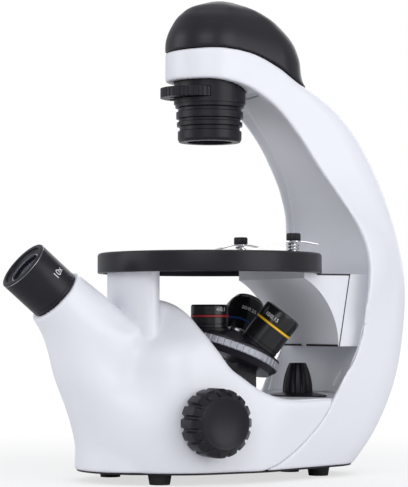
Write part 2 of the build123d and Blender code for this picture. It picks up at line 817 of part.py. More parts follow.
def focus_carriage():
    """Slide on the guide rods, with the stem of the turret and the arm of the rack."""
    slide = block((-carriage_half_width, carriage_half_width),
                  (rod_y - carriage_half_depth, rod_y + carriage_half_depth),
                  (carriage_low, carriage_high))
    slide += block((-stem_half_width, stem_half_width),
                   (rod_y - stem_half_depth, rod_y + stem_half_depth),
                   (carriage_high - 1, 80)) & (
        on_turret_axis(base_low) * Pos(0, 0, -100) * Box(200, 200, 200))
    slide += block((rack_x, carriage_half_width),
                   (rack_face + rack_back, rod_y), (rack_low + 3, carriage_high))
    for side in (-1, 1):
        slide -= upright(side * rod_x, rod_y, 0, far, rod_radius + running)
    return slide


def focus_rack():
    """Toothed bar that the pinion moves."""
    pitch = pi * tooth_module
    thick = pitch / 2 - tooth_backlash / 2
    add, ded = 0.75 * tooth_module, 1.2 * tooth_module
    slope = tan(radians(pressure_angle))
    back = rack_face + rack_back
    points = [(back, rack_low)]
    count = int((knob_z - rack_low - pitch) / pitch)
    last = int((rack_high - knob_z - pitch) / pitch)
    points.append((rack_face + ded, rack_low))
    for k in range(-count, last + 1):
        z = knob_z + k * pitch
        root, tip = thick / 2 + ded * slope, thick / 2 - add * slope
        points += [(rack_face + ded, z - root), (rack_face - add, z - tip),
                   (rack_face - add, z + tip), (rack_face + ded, z + root)]
    points += [(rack_face + ded, rack_high), (back, rack_high)]
    face = make_face(Plane.YZ * Polyline(*points, close=True))
    return Pos(rack_x, 0, 0) * extrude(face, amount=rack_width)


def focus_pinion():
    """Small gear on the focus shaft."""
    radius = tooth_module * pinion_teeth / 2
    half = (pi * tooth_module - tooth_backlash) / 4
    base = radius * cos(radians(pressure_angle))
    outline_half = [(radius - 1.25 * tooth_module, 0.8 * half), (base, 1.04 * half),
                    (radius, half), (radius + 0.5 * tooth_module, 0.72 * half),
                    (radius + 0.85 * tooth_module, 0.34 * half)]
    points = []
    for k in range(pinion_teeth):
        angle = 2 * pi * (k + 0.5) / pinion_teeth
        sides = [(r, -w) for r, w in outline_half] + outline_half[::-1]
        for r, w in sides:
            points.append((r * cos(angle) - w * sin(angle),
                           r * sin(angle) + w * cos(angle)))
    face = make_face(Plane.YZ * Polyline(*points, close=True))
    gear = Pos(rack_x, 0, 0) * extrude(face, amount=rack_width)
    gear = Pos(0, knob_y, knob_z) * gear
    return gear - lengthways(knob_y, knob_z, 0, far, shaft_radius)


def focus_knob():
    """Right hand focus knob: rounded ridges, bevelled ends, shallow dish."""
    rear = knob_outer_face - knob_length
    bevel = knob_radius - knob_face_radius
    plane = Plane(origin=(0, knob_y, knob_z), x_dir=(0, 1, 0), z_dir=(1, 0, 0))
    knob = ring_about(plane, [
        (0, rear), (knob_radius - 1, rear), (knob_radius, rear + 1),
        (knob_radius, knob_outer_face - 1.1 * bevel),
        (knob_face_radius + 0.6, knob_outer_face - 0.8),
        (knob_face_radius - 0.4, knob_outer_face),
        (knob_face_radius - 1.4, knob_outer_face),
        (knob_face_radius - 2.2, knob_outer_face - 0.9),
        (0, knob_outer_face - 1.3)])
    for k in range(knob_lobes):
        angle = 2 * pi * k / knob_lobes
        out = knob_radius + 0.35
        knob -= lengthways(knob_y + out * cos(angle), knob_z + out * sin(angle),
                           rear - 1, knob_outer_face + 1, knob_flute)
    return knob - lengthways(knob_y, knob_z, rear - 1, shaft_half_length,
                             shaft_radius)


def dimmer_knob():
    """Tapered fluted knob of the brightness control."""
    low = shelf_top + dimmer_gap + dimmer_skirt
    high = low + dimmer_height
    shoulder = low + 0.42 * dimmer_height
    edges = [Line((0, low), (dimmer_radius, low)),
             Line((dimmer_radius, low), (dimmer_radius, shoulder - 2)),
             Spline((dimmer_radius, shoulder - 2), (dimmer_radius - 1.3, shoulder + 5),
                    (dimmer_top_radius + 0.5, high - 0.6), tangents=((0, 1), (-0.55, 1))),
             Line((dimmer_top_radius + 0.5, high - 0.6), (dimmer_top_radius, high)),
             Line((dimmer_top_radius, high), (0, high)), Line((0, high), (0, low))]
    knob = revolve(Plane.XZ * make_face(Curve(edges)), Axis.Z)
    for k in range(dimmer_flutes):
        angle = 2 * pi * k / dimmer_flutes
        knob -= Pos(dimmer_radius * cos(angle), dimmer_radius * sin(angle),
                    low + 2 + dimmer_height / 2) * Rot(
            0, 0, degrees(angle)) * Rot(0, -dimmer_flute_lean, 0) * Cylinder(
            0.75, dimmer_height)
    knob -= upright(0, 0, low - 1, low + 8, dimmer_shaft_radius)
    return Pos(0, dimmer_y, 0) * knob


def head_cap():
    """Black domed cover of the lamp."""
    def form(inset):
        rows = [two_circle_face(z - inset, y1, r1 - inset, y2, r2 - inset)
                for z, y1, r1, y2, r2 in cap_sections]
        return loft(rows)
    lifted = [(y, z + cap_gap) for y, z in cap_edge]
    start, end = lifted[0], lifted[-1]
    above = across([Spline(*lifted), Polyline(end, (far, end[1]), (far, 2 * far),
                                              (start[0], 2 * far), start)])
    return (form(0) & above) - form(cap_wall)


def lamp_housing():
    """Black collar under the head with the slot of the aperture wheel."""
    body = ring_about(Plane.XY, [
        (lamp_bore, lamp_low), (lamp_radius, lamp_low),
        (lamp_radius, head_bottom + wall), (lamp_flange_radius, head_bottom + wall),
        (lamp_flange_radius, lamp_flange), (lamp_cup_radius, lamp_flange),
        (lamp_cup_radius, lamp_cup_height), (lamp_cup_radius - 2, lamp_cup_height),
        (lamp_cup_radius - 2, lamp_flange - 1), (lamp_bore, lamp_flange - 1)])
    body -= upright(0, wheel_y, wheel_low - wheel_gap, wheel_high + wheel_gap,
                    wheel_radius + wheel_gap)
    return body - upright(0, wheel_y, wheel_low - 2, wheel_high + 2,
                          wheel_axle_radius)


def aperture_wheel():
    """Wheel with a ring of apertures that turns in its slot."""
    wheel = upright(0, wheel_y, wheel_low, wheel_high, wheel_radius)
    reach = -wheel_y
    for k, radius in enumerate(wheel_holes):
        angle = pi / 2 + 2 * pi * k / len(wheel_holes)
        wheel -= upright(reach * cos(angle), wheel_y + reach * sin(angle),
                         wheel_low - 1, wheel_high + 1, radius)
    for k in range(wheel_teeth):
        angle = 2 * pi * k / wheel_teeth
        out = wheel_radius + 0.3
        wheel -= upright(out * cos(angle), wheel_y + out * sin(angle),
                         wheel_low - 1, wheel_high + 1, 0.75)
    return wheel - upright(0, wheel_y, wheel_low - 1, wheel_high + 1,
                           wheel_axle_radius + running)


def condenser_barrel():
    """Ribbed barrel that holds the condenser lens."""
    seat = condenser_lens_height + condenser_lens_thickness
    return ring_about(Plane.XY, [
        (condenser_bore, condenser_low), (17.2, condenser_low), (18.0, 189.7),
        (18.0, 194.0), (17.0, 194.5), (17.0, 196.4), (18.5, 196.9), (18.5, 199.1),
        (17.4, 199.6), (17.4, 200.8), (18.9, 201.3), (18.9, 204.9), (17.8, 205.4),
        (17.8, 206.9), (19.4, 207.5), (19.4, lamp_low), (condenser_bore - 2, lamp_low),
        (condenser_bore - 2, seat), (condenser_bore, seat)])


def condenser_lens():
    """Lens above the specimen, bulging downwards."""
    low, high = condenser_lens_height, condenser_lens_height + condenser_lens_thickness
    edges = [ThreePointArc((0, low - 1.6), (condenser_bore / 2, low - 1.2),
                           (condenser_bore, low)),
             Line((condenser_bore, low), (condenser_bore, high)),
             Line((condenser_bore, high), (0, high)), Line((0, high), (0, low - 1.6))]
    return revolve(Plane.XZ * make_face(Curve(edges)), Axis.Z)


def lamp_led():
    """Bright diode below its board."""
    dome = Pos(0, 0, lamp_cup_height - led_radius) * Sphere(led_radius)
    return dome + upright(0, 0, lamp_cup_height - led_radius, lamp_cup_height,
                          led_radius)


def power_inlet():
    """Round socket for the lamp supply in the back of the arm."""
    body = lengthways_y(0, inlet_z, inlet_face - inlet_length, inlet_face, inlet_radius)
    body += lengthways_y(0, inlet_z, inlet_face, inlet_face + 1.5,
                         inlet_pocket_radius - fit)
    body -= lengthways_y(0, inlet_z, inlet_face - 8, inlet_face + 2, inlet_bore)
    return body + lengthways_y(0, inlet_z, inlet_face - 8.5, inlet_face, 1.0)


def eyepiece_pieces():
    """Eyepiece: black head, bright barrel and two lenses."""
    start = on_eye_axis(mouth_distance + turret_gap)
    radius, length, bore = eye_head_radius, eye_head_length, eye_barrel_radius
    inner = bore - eye_barrel_wall
    shoulder = length - eye_lens_depth
    head = ring_about(start, [
        (bore, 0), (radius, 0), (radius, length - 0.9), (radius - 0.9, length),
        (12.4, length), (12.4, length - 1.4), (eye_lens_radius, length - 2.6),
        (eye_lens_radius, shoulder), (eye_lens_radius + 1, shoulder),
        (eye_lens_radius + 1, 5), (bore, 5)])
    barrel = ring_about(start, [
        (inner, -eye_barrel_length), (bore, -eye_barrel_length), (bore, 5), (inner, 5)])
    eye_lens = ring_about(start, [
        (0, shoulder - 4), (eye_lens_radius + 1, shoulder - 3),
        (eye_lens_radius + 1, shoulder), (0, shoulder)])
    field_lens = ring_about(start, [
        (0, -eye_barrel_length + 1), (inner, -eye_barrel_length + 1),
        (inner, -eye_barrel_length + 3), (0, -eye_barrel_length + 5)])
    return head, barrel, eye_lens, field_lens


def eyepiece_sleeve():
    """Metal tube in the body that takes the eyepiece."""
    return ring_about(on_eye_axis(mouth_distance - sleeve_length), [
        (eye_barrel_radius + running, 0), (sleeve_radius, 0),
        (sleeve_radius, sleeve_length - 0.2),
        (eye_barrel_radius + running, sleeve_length - 0.2)])


base_half = base_shell()
arm_half, cover_half = arm_pieces()
mirror_glass, mirror_mount = folding_mirror()
eye_head, eye_barrel, eye_lens, field_lens = eyepiece_pieces()

parts = {
    "base_shell_left": mirrored(base_half),
    "base_shell_right": base_half,
    "arm_shell_left": mirrored(arm_half),
    "arm_shell_right": arm_half,
    "arm_inner_cover": cover_half + mirrored(cover_half),
    "rear_shelf": rear_shelf(),
    "stage_bracket": stage_bracket(),
    "base_plate": base_plate(),
    "foot_screws": foot_screws(),
    "folding_mirror": mirror_glass,
    "mirror_mount": mirror_mount,
    "stage_plate": stage_plate(),
    "stage_screws": stage_screws(),
    "stage_insert": stage_insert(),
    "eyepiece_sleeve": eyepiece_sleeve(),
    "eyepiece_head": eye_head,
    "eyepiece_barrel": eye_barrel,
    "eyepiece_eye_lens": eye_lens,
    "eyepiece_field_lens": field_lens,
    "nosepiece_base": nosepiece_base(),
    "nosepiece_turret": nosepiece_turret(),
    "turret_grip": turret_grip(),
    "turret_axle": turret_axle(),
    "focus_carriage": focus_carriage(),
    "focus_rack": focus_rack(),
    "focus_pinion": focus_pinion(),
    "focus_shaft": lengthways(knob_y, knob_z, -shaft_half_length, shaft_half_length,
                              shaft_radius),
    "focus_knob_right": focus_knob(),
    "focus_knob_left": mirrored(focus_knob()),
    "dimmer_knob": dimmer_knob(),
    "dimmer_skirt": upright(0, dimmer_y, shelf_top + dimmer_gap,
                            shelf_top + dimmer_gap + dimmer_skirt, dimmer_skirt_radius)
    - upright(0, dimmer_y, 0, far, dimmer_shaft_radius),
    "dimmer_shaft": upright(0, dimmer_y, shelf_top - shelf_thickness + running,
                            shelf_top + dimmer_gap + dimmer_skirt + 8,
                            dimmer_shaft_radius),
    "dimmer_control": block((-dimmer_body_size / 2, dimmer_body_size / 2),
                            (dimmer_y - dimmer_body_size / 2,
                             dimmer_y + dimmer_body_size / 2),
                            (shelf_top - shelf_thickness - dimmer_body_height,
                             shelf_top - shelf_thickness)),
    "head_cap": head_cap(),
    "lamp_housing": lamp_housing(),
    "lamp_board": upright(0, 0, lamp_cup_height, lamp_cup_height + board_thickness,
                          board_radius + 2),
    "lamp_led": lamp_led(),
    "aperture_wheel": aperture_wheel(),
    "aperture_wheel_axle": upright(0, wheel_y, wheel_low - 2, wheel_high + 2,
                                   wheel_axle_radius),
    "condenser_barrel": condenser_barrel(),
    "condenser_lens": condenser_lens(),
    "power_inlet": power_inlet(),
}
for side, hand in ((-1, "left"), (1, "right")):
    parts["clip_post_" + hand] = clip_post(side)
    parts["clip_leaf_" + hand] = clip_leaf(side)
    parts["clip_cap_" + hand] = clip_cap(side)
    parts["clip_spring_" + hand] = clip_spring(side)
for hand, x, y in feet:
    parts["foot_" + hand] = foot(x, y)
lenses = Part()
for k, (power, barrel, length, tip, taper) in enumerate(objectives):
    turn = objective_places[k]
    parts["objective_" + power] = around_turret(
        objective(power, barrel, length, tip, taper), turn)
    lenses += around_turret(objective_lens(length), turn)
parts["objective_lenses"] = lenses
parts["guide_rods"] = Part() + [
    upright(side * rod_x, rod_y, plate_bottom + plate_thickness,
            shelf_top - shelf_thickness, rod_radius) for side in (-1, 1)]
bush = lengthways(knob_y, knob_z, side_boss_face - bush_length, side_boss_face,
                  bush_radius) - lengthways(knob_y, knob_z, 0, far,
                                            shaft_radius + running)
parts["shaft_bushes"] = Part() + [bush, mirrored(bush)]

os.makedirs("parts", exist_ok=True)
for name, solid in parts.items():
    export_step(solid, os.path.join("parts", name + ".step"))
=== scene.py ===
"""Looks of a small inverted microscope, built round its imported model.

Lengths are in millimetres until a mesh is made.  +Z is up, -Y is the front where the
eyepiece is, and the optical axis is the line x = 0, y = 0.
"""
import json
from math import cos, pi, radians, sin, tan

import bpy
import numpy as np
from mathutils import Matrix, Vector


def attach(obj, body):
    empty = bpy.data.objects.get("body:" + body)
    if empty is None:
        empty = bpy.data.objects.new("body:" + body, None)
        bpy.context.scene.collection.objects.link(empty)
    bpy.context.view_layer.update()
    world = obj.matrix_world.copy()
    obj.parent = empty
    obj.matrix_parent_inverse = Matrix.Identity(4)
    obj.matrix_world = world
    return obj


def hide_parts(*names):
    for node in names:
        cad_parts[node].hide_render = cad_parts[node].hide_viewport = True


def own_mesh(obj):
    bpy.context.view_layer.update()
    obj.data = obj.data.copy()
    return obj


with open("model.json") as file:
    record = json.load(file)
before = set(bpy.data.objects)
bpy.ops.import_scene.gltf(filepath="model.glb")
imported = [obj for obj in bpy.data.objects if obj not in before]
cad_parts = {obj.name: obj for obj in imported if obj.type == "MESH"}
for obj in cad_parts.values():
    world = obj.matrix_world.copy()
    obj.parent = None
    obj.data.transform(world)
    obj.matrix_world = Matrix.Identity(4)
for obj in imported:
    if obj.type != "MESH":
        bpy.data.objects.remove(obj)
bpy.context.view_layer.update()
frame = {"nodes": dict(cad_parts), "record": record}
MM = 0.001

# Camera: where it stands, where it looks, and its lens
CAMERA_PLACE = (966.7, -524.9, 86.5)
CAMERA_YAW = 61.665          # degrees, from +Y towards -X
CAMERA_PITCH = 2.32          # degrees, upwards
CAMERA_LENS = 144.6
SENSOR_WIDTH = 36.0

# Lamps: name, place, size of the soft panel, watts
LAMPS = (
    ("right", (1100, 500, 420), (900, 1100), 6.2),
    ("key", (900, -700, 700), (700, 700), 3.1),
    ("left", (-500, -1200, 500), (800, 1000), 4.2),
    ("top", (0, 100, 1300), (1000, 1000), 1.6),
    ("rear", (-900, 900, 600), (900, 900), 3.0),
)
LAMP_AIM = (0, 0, 110)
WORLD_LIGHT = 0.56
FLOOR_REACH = 4000.0
# Plain white takes over from the lit floor between these distances in metres
FLOOR_FADE = {"From Min": 0.18, "From Max": 0.60, "To Min": 0.62, "To Max": 1.0}
FLOOR_GLOW = 1.06

# Light path
EYE_TILT = 40.0
MIRROR_HEIGHT = 21.7
MOUTH = 123.8                # from the mirror to the mouth of the tube
TUBE_LENGTH = 73.0
TUBE_FLARE = 4.0             # degrees by which the tube widens towards the body
MOUTH_RADIUS = 16.5
SLEEVE_RADIUS = 13.9         # bore of the tube
SLEEVE_DEPTH = 75.0
TURRET_TILT = 22.0
LEAN_POINT = 38.6            # height where the turret axis crosses the optical axis
SEAT = 44.9                  # from there to the seat of an objective

# Stand
WALL = 2.5
RIM = 2.6                    # how far the inner cover lies behind the edge of the arm
LINING = 0.6                 # how far it stands into the recess
COVER_FOOT = 46.3            # height at which it starts
SEAM = 0.15                  # gap between the front body and the arm
SHELL_BOTTOM = 6.5
PILLAR = (-48.0, 25.5, 10.0)     # y, half width, half depth
PILLAR_FOOT = 60.0
SHELF_TOP = 44.4
SHELF_FRONT = 15.0
SHELF_THICKNESS = 2.5
HEAD_ROOF = 236.0            # top of the hollow in the head
ROOM_FRONT = -5.0            # foremost y of the hollow in the foot of the arm
LAMP_HOLE = (20.3, 205.0)    # radius, height at which it starts
TURRET_HOLE = (13.0, -11.0, 28.0, 38.0, 75.0)    # half width, y from and to, z from and to
COVER_SLOT = ((18.0, 73.4, 51.8), (21.0, 74.8, 57.4), 2.0)      # its ends and its radius
CAP_GAP = 0.4
CAP_WALL = 2.2

# Stage and its clips
STAGE_TOP = 125.4
STAGE_UNDER = 121.4
STAGE_SEAT = 117.2
STAGE_LOW = 114.0
STAGE_RADIUS = 63.0
INSERT_RADIUS = 20.5
STAGE_SCREWS = ((16.0, -48.0), (-16.0, -48.0), (24.0, 47.0), (-24.0, 47.0))
CLIP_STUD = (30.0, 37.0)
CLIP_TURN = 8.0              # degrees
NUT_TOP = 136.4
NUT_HEIGHT = 4.3
LEAF_WIDTH = 4.6
LEAF_THICKNESS = 0.6
SPRING_RADIUS = 2.75
SPRING_WIRE = 0.45
SPRING_TURNS = 3.0

# Knobs
FOCUS_AXIS = (-27.0, 33.5)       # y, z
FOCUS_BOSS = (4.3, 30.0)         # radius of the opening, x at which it starts
FOCUS_RIDGES = 16
DIMMER_Y = 57.5
DIMMER_GAP = 0.3             # between the shelf and the disc under the knob
DIMMER_LIFT = 1.3            # from there to the knob
DIMMER_HEIGHT = 17.5
DIMMER_FLUTES = 12

CREASE = 28                  # degrees between faces that show as a sharp edge
# Spacing of the grids on which the shells and the cap are worked out
SHELL_PITCH = 0.9
CAP_PITCH = 0.8

# Sections of the stand: height, foremost y, nose radius, y and radius of the widest
# circle, rearmost y, rear radius
STAND = np.array([
    (6.5, -79.3, 37.5, 0.0, 50.2, 89.0, 32.0),
    (20.0, -79.3, 36.0, 4.0, 49.9, 100.0, 34.0),
    (40.0, -85.6, 31.0, 16.0, 49.8, 111.5, 36.0),
    (58.0, -93.6, 22.0, 30.0, 49.6, 118.0, 38.0),
    (79.0, -98.6, 16.5, 46.0, 49.8, 121.8, 39.0),
    (100.0, -100.5, 14.0, 60.0, 49.8, 123.7, 39.0),
    (118.0, -85.0, 15.0, 66.0, 48.8, 123.0, 38.0),
    (134.0, -65.0, 17.0, 66.0, 45.0, 120.2, 35.0),
    (156.0, -48.0, 20.0, 56.0, 35.0, 113.5, 30.0),
    (170.0, -38.0, 22.0, 45.0, 29.0, 107.6, 26.5),
    (185.0, -30.0, 23.5, 30.0, 26.0, 99.5, 24.0),
    (200.0, -26.0, 24.5, 12.0, 25.1, 88.3, 23.0),
    (212.0, -25.0, 24.8, 4.0, 25.0, 75.0, 23.0),
    (223.0, -25.0, 24.8, 4.0, 25.0, 57.6, 22.5),
    (242.0, -25.0, 24.8, 4.0, 25.0, 51.5, 22.0),
])
# Wide part of the front body: height, foremost and rearmost y, half width, corner radius
WIDE = np.array([
    (6.5, -70.0, 46.5, 50.3, 46.5), (20.0, -71.0, 47.0, 49.9, 43.0),
    (35.0, -66.0, 51.0, 49.6, 38.0), (56.0, -57.0, 52.0, 47.5, 26.0),
    (72.0, -54.0, 54.0, 44.0, 25.0), (85.0, -45.5, 60.0, 38.0, 31.0),
    (99.0, -40.0, 66.0, 31.0, 30.0), (120.0, -40.0, 72.0, 26.0, 25.0),
])
# Inner edge of the arm from the base to the head, seen from the side, (y, z)
CRESCENT = [
    (6.0, 6.5), (18.3, 10.3), (36.7, 21.4), (49.5, 34.0), (56.3, 45.0), (65.2, 65.8),
    (72.5, 88.0), (76.2, 108.0), (76.6, 126.0), (72.9, 143.0), (65.0, 160.0),
    (54.5, 177.0), (45.8, 190.0), (29.2, 207.9), (12.8, 217.4), (-4.0, 221.3),
    (-30.0, 221.5),
]
# Recess along the inner face of the arm: height, centre y, half width, depth
CHANNEL = np.array([
    (40.0, 54.0, 37.5, 15.0), (50.0, 58.5, 40.0, 14.5), (66.0, 65.3, 43.4, 14.0),
    (88.0, 72.5, 44.3, 13.0), (108.0, 76.2, 44.0, 13.0), (126.0, 76.6, 42.0, 12.5),
    (143.0, 73.0, 36.0, 11.5), (160.0, 65.0, 28.0, 9.5), (177.0, 54.3, 22.0, 7.5),
    (190.0, 45.8, 20.5, 6.5), (203.0, 34.2, 20.0, 7.5), (216.0, 17.0, 19.5, 7.5),
])
# Edge between head and cap, seen from the side
CAP_EDGE = [(-30.0, 238.0), (0.0, 238.6), (17.0, 236.2), (33.0, 230.0), (43.0, 224.6),
            (50.0, 221.2), (57.0, 220.2), (74.0, 220.0)]
# Upper edge of the front body: tube, pillar foot, slope under the turret, shelf
DECK = [(-125.0, 99.0), (-100.0, 97.0), (-86.0, 88.0), (-73.0, 80.0), (-60.0, 80.0),
        (-52.0, 88.0), (-46.0, 99.3), (-42.0, 99.6), (-37.8, 98.8), (-32.3, 96.9),
        (-28.5, 92.5), (-23.2, 81.4), (-16.7, 70.9), (-10.1, 61.7), (-3.9, 57.2),
        (5.4, 50.9), (17.2, 46.0), (25.3, 44.8), (53.0, 44.6), (62.0, 44.6)]
# Cap: height, y of the front circle, its radius, y of the rear circle, its radius
CAP = np.array([
    (205.0, 0.0, 25.2, 48.0, 24.0), (215.0, 0.0, 25.2, 41.0, 23.4),
    (223.0, 0.0, 25.2, 35.2, 23.0), (238.0, 0.0, 25.2, 32.5, 22.3),
    (246.0, 0.0, 24.6, 31.0, 20.2), (253.5, 0.5, 22.0, 27.0, 17.4),
    (260.0, 1.5, 18.2, 22.0, 14.0), (265.0, 3.5, 12.6, 15.5, 9.4),
    (267.8, 6.0, 5.5, 10.0, 4.5),
])


# Curves and fields

def smooth_rows(rows, z):
    """Columns of a table at the heights z, along smooth curves through its rows."""
    knots = rows[:, 0]
    out = []
    place = np.clip(np.searchsorted(knots, z, side="right") - 1, 0, len(knots) - 2)
    span = knots[place + 1] - knots[place]
    t = np.clip((z - knots[place]) / span, 0, 1)
    for column in rows[:, 1:].T:
        slope = np.gradient(column, knots)
        a, b = column[place], column[place + 1]
        m, n = slope[place] * span, slope[place + 1] * span
        out.append((2 * t**3 - 3 * t**2 + 1) * a + (t**3 - 2 * t**2 + t) * m
                   + (3 * t**2 - 2 * t**3) * b + (t**3 - t**2) * n)
    return out


def smooth_line(points, step=1.5):
    """Points along a smooth curve through the given ones."""
    p = np.array(points, float)
    s = np.concatenate([[0], np.cumsum(np.linalg.norm(np.diff(p, axis=0), axis=1))])
    at = np.linspace(0, s[-1], max(int(s[-1] / step), 2) + 1)
    return np.stack(smooth_rows(np.column_stack([s, p]), at), -1)


def smooth_min(a, b, k):
    """Smaller of two fields, blended over k."""
    h = np.clip(0.5 + 0.5 * (b - a) / k, 0, 1)
    return b + (a - b) * h - k * h * (1 - h)


def smooth_max(a, b, k):
    """Larger of two fields, blended over k."""
    return -smooth_min(-a, -b, k)


def step_up(x, low, high):
    """Smooth step from 0 at low to 1 at high."""
    t = np.clip((x - low) / (high - low), 0, 1)
    return t * t * (3 - 2 * t)


class Grid:
    """Half grid, x from 0, of points on which fields are worked out."""

    def __init__(self, corner, far_corner, pitch):
        self.pitch = pitch
        counts = [int(np.ceil((b - a) / pitch)) + 1 for a, b in zip(corner, far_corner)]
        self.axes = [a + pitch * np.arange(n) for a, n in zip(corner, counts)]
        self.x = self.axes[0][:, None, None]
        self.y = self.axes[1][None, :, None]
        self.z = self.axes[2][None, None, :]
        self.shape = tuple(counts)

    def uneven_capsule(self, y1, r1, y2, r2):
        """Distance to the hull of two circles on the middle line."""
        h = np.maximum(y2 - y1, 1e-3)
        b = np.clip((r1 - r2) / h, -0.999, 0.999)
        a = np.sqrt(1 - b * b)
        py = self.y - y1
        k = -b * self.x + a * py
        side = a * self.x + b * py - r1
        near = np.hypot(self.x, py) - r1
        far_end = np.hypot(self.x, py - h) - r2
        return np.where(k < 0, near, np.where(k > a * h, far_end, side))

    def rounded_box(self, y1, y2, half, corner):
        """Distance to a rectangle with round corners, seen from above."""
        qx = self.x - half + corner
        qy = np.abs(self.y - (y1 + y2) / 2) - (y2 - y1) / 2 + corner
        return (np.hypot(np.maximum(qx, 0), np.maximum(qy, 0))
                + np.minimum(np.maximum(qx, qy), 0) - corner)

    def side_view(self, points):
        """Distance to a closed outline seen from the side, negative inside."""
        p = np.array(points, float)
        q = np.roll(p, -1, axis=0)
        yy, zz = np.meshgrid(self.axes[1], self.axes[2], indexing="ij")
        best = np.full(yy.shape, 1e9)
        inside = np.zeros(yy.shape, bool)
        for (ay, az), (by, bz) in zip(p, q):
            dy, dz = by - ay, bz - az
            length = max(dy * dy + dz * dz, 1e-9)
            t = np.clip(((yy - ay) * dy + (zz - az) * dz) / length, 0, 1)
            best = np.minimum(best, (yy - ay - t * dy)**2 + (zz - az - t * dz)**2)
            if az != bz:
                cross = ay + (zz - az) / (bz - az) * dy
                inside ^= ((az > zz) != (bz > zz)) & (yy < cross)
        return (np.sqrt(best) * np.where(inside, -1, 1))[None]

    def true_length(self, field):
        """The field divided by its slope, so that it measures distance."""
        gx, gy, gz = np.gradient(field, self.pitch)
        slope = np.sqrt(gx**2 + gy**2 + gz**2)
        return field / np.clip(slope, 0.5, 3.0)

    def bar(self, start, direction, r1, slope, low, high):
        """Distance to a round bar or cone along a line in the middle plane."""
        d = np.array(direction, float)
        py, pz = self.y - start[0], self.z - start[1]
        along = py * d[0] + pz * d[1]
        off = np.hypot(self.x, -py * d[1] + pz * d[0])
        side = (off - r1 - slope * along) / np.hypot(1, slope)
        return np.maximum(side, np.maximum(low - along, along - high))

    def rod(self, start, end, radius):
        """Distance to a bar with round ends between two points."""
        a, b = np.array(start), np.array(end)
        d = b - a
        px, py, pz = self.x - a[0], self.y - a[1], self.z - a[2]
        t = np.clip((px * d[0] + py * d[1] + pz * d[2]) / (d @ d), 0, 1)
        return np.sqrt((px - t * d[0])**2 + (py - t * d[1])**2
                       + (pz - t * d[2])**2) - radius


def surface(name, grid, field):
    """Smooth closed mesh at the zero level of a field and of its mirror image."""
    field = np.concatenate([field[:0:-1], field], 0)
    xs = np.concatenate([-grid.axes[0][:0:-1], grid.axes[0]])
    inside = field < 0
    shape = np.array(field.shape)
    total = np.zeros(tuple(shape - 1) + (3,), np.float32)
    count = np.zeros(tuple(shape - 1), np.int8)
    for axis in range(3):
        lo = [slice(None)] * 3
        hi = [slice(None)] * 3
        lo[axis], hi[axis] = slice(0, -1), slice(1, None)
        a, b = field[tuple(lo)], field[tuple(hi)]
        crossing = inside[tuple(lo)] != inside[tuple(hi)]
        t = np.where(crossing, a / np.where(crossing, a - b, 1), 0)
        others = [k for k in range(3) if k != axis]
        for i in (0, 1):
            for j in (0, 1):
                pick = [slice(None)] * 3
                pick[others[0]] = slice(i, shape[others[0]] - 1 + i)
                pick[others[1]] = slice(j, shape[others[1]] - 1 + j)
                here = crossing[tuple(pick)]
                count += here
                total[..., axis] += t[tuple(pick)] * here
                total[..., others[0]] += i * here
                total[..., others[1]] += j * here
    cells = np.argwhere(count > 0)
    index = np.full(tuple(shape - 1), -1, np.int32)
    index[tuple(cells.T)] = np.arange(len(cells))
    corner = np.stack([xs[cells[:, 0]], grid.axes[1][cells[:, 1]],
                       grid.axes[2][cells[:, 2]]], -1)
    verts = corner + grid.pitch * total[tuple(cells.T)] / count[tuple(cells.T)][:, None]
    faces = []
    for axis in range(3):
        others = [k for k in range(3) if k != axis]
        lo = [slice(1, -1)] * 3
        hi = [slice(1, -1)] * 3
        lo[axis], hi[axis] = slice(0, -1), slice(1, None)
        a, b = inside[tuple(lo)], inside[tuple(hi)]
        where = np.argwhere(a != b)
        flip = a[tuple(where.T)]
        base = where.copy()
        base[:, others[0]] += 1
        base[:, others[1]] += 1
        quad = []
        for i, j in ((0, 0), (1, 0), (1, 1), (0, 1)):
            cell = base.copy()
            cell[:, others[0]] -= i
            cell[:, others[1]] -= j
            quad.append(index[tuple(cell.T)])
        quad = np.stack(quad, -1)
        if axis == 1:
            flip = ~flip
        quad[~flip] = quad[~flip][:, ::-1]
        faces.append(quad)
    faces = np.concatenate(faces)
    faces = faces[(faces >= 0).all(1)]
    return solid(name, verts, faces[:, ::-1].tolist())


# Meshes

def solid(name, verts, faces, smooth=True, angle=None):
    """Object from points in millimetres."""
    mesh = bpy.data.meshes.new(name)
    mesh.from_pydata((np.asarray(verts, float) * MM).tolist(), [], faces)
    mesh.validate()
    mesh.update()
    mesh.polygons.foreach_set("use_smooth", [smooth] * len(mesh.polygons))
    if angle is not None:
        mesh.set_sharp_from_angle(angle=radians(angle))
    piece = bpy.data.objects.new(name, mesh)
    bpy.context.scene.collection.objects.link(piece)
    return piece


def axis_frame(origin, axis, across=(1, 0, 0)):
    """Matrix whose third column is the axis, for points in millimetres."""
    w = Vector(axis).normalized()
    u = Vector(across)
    u = (u - w * u.dot(w)).normalized()
    v = w.cross(u)
    m = Matrix((u, v, w)).transposed().to_4x4()
    m.translation = Vector(origin)
    return m


UPRIGHT = axis_frame((0, 0, 0), (0, 0, 1))


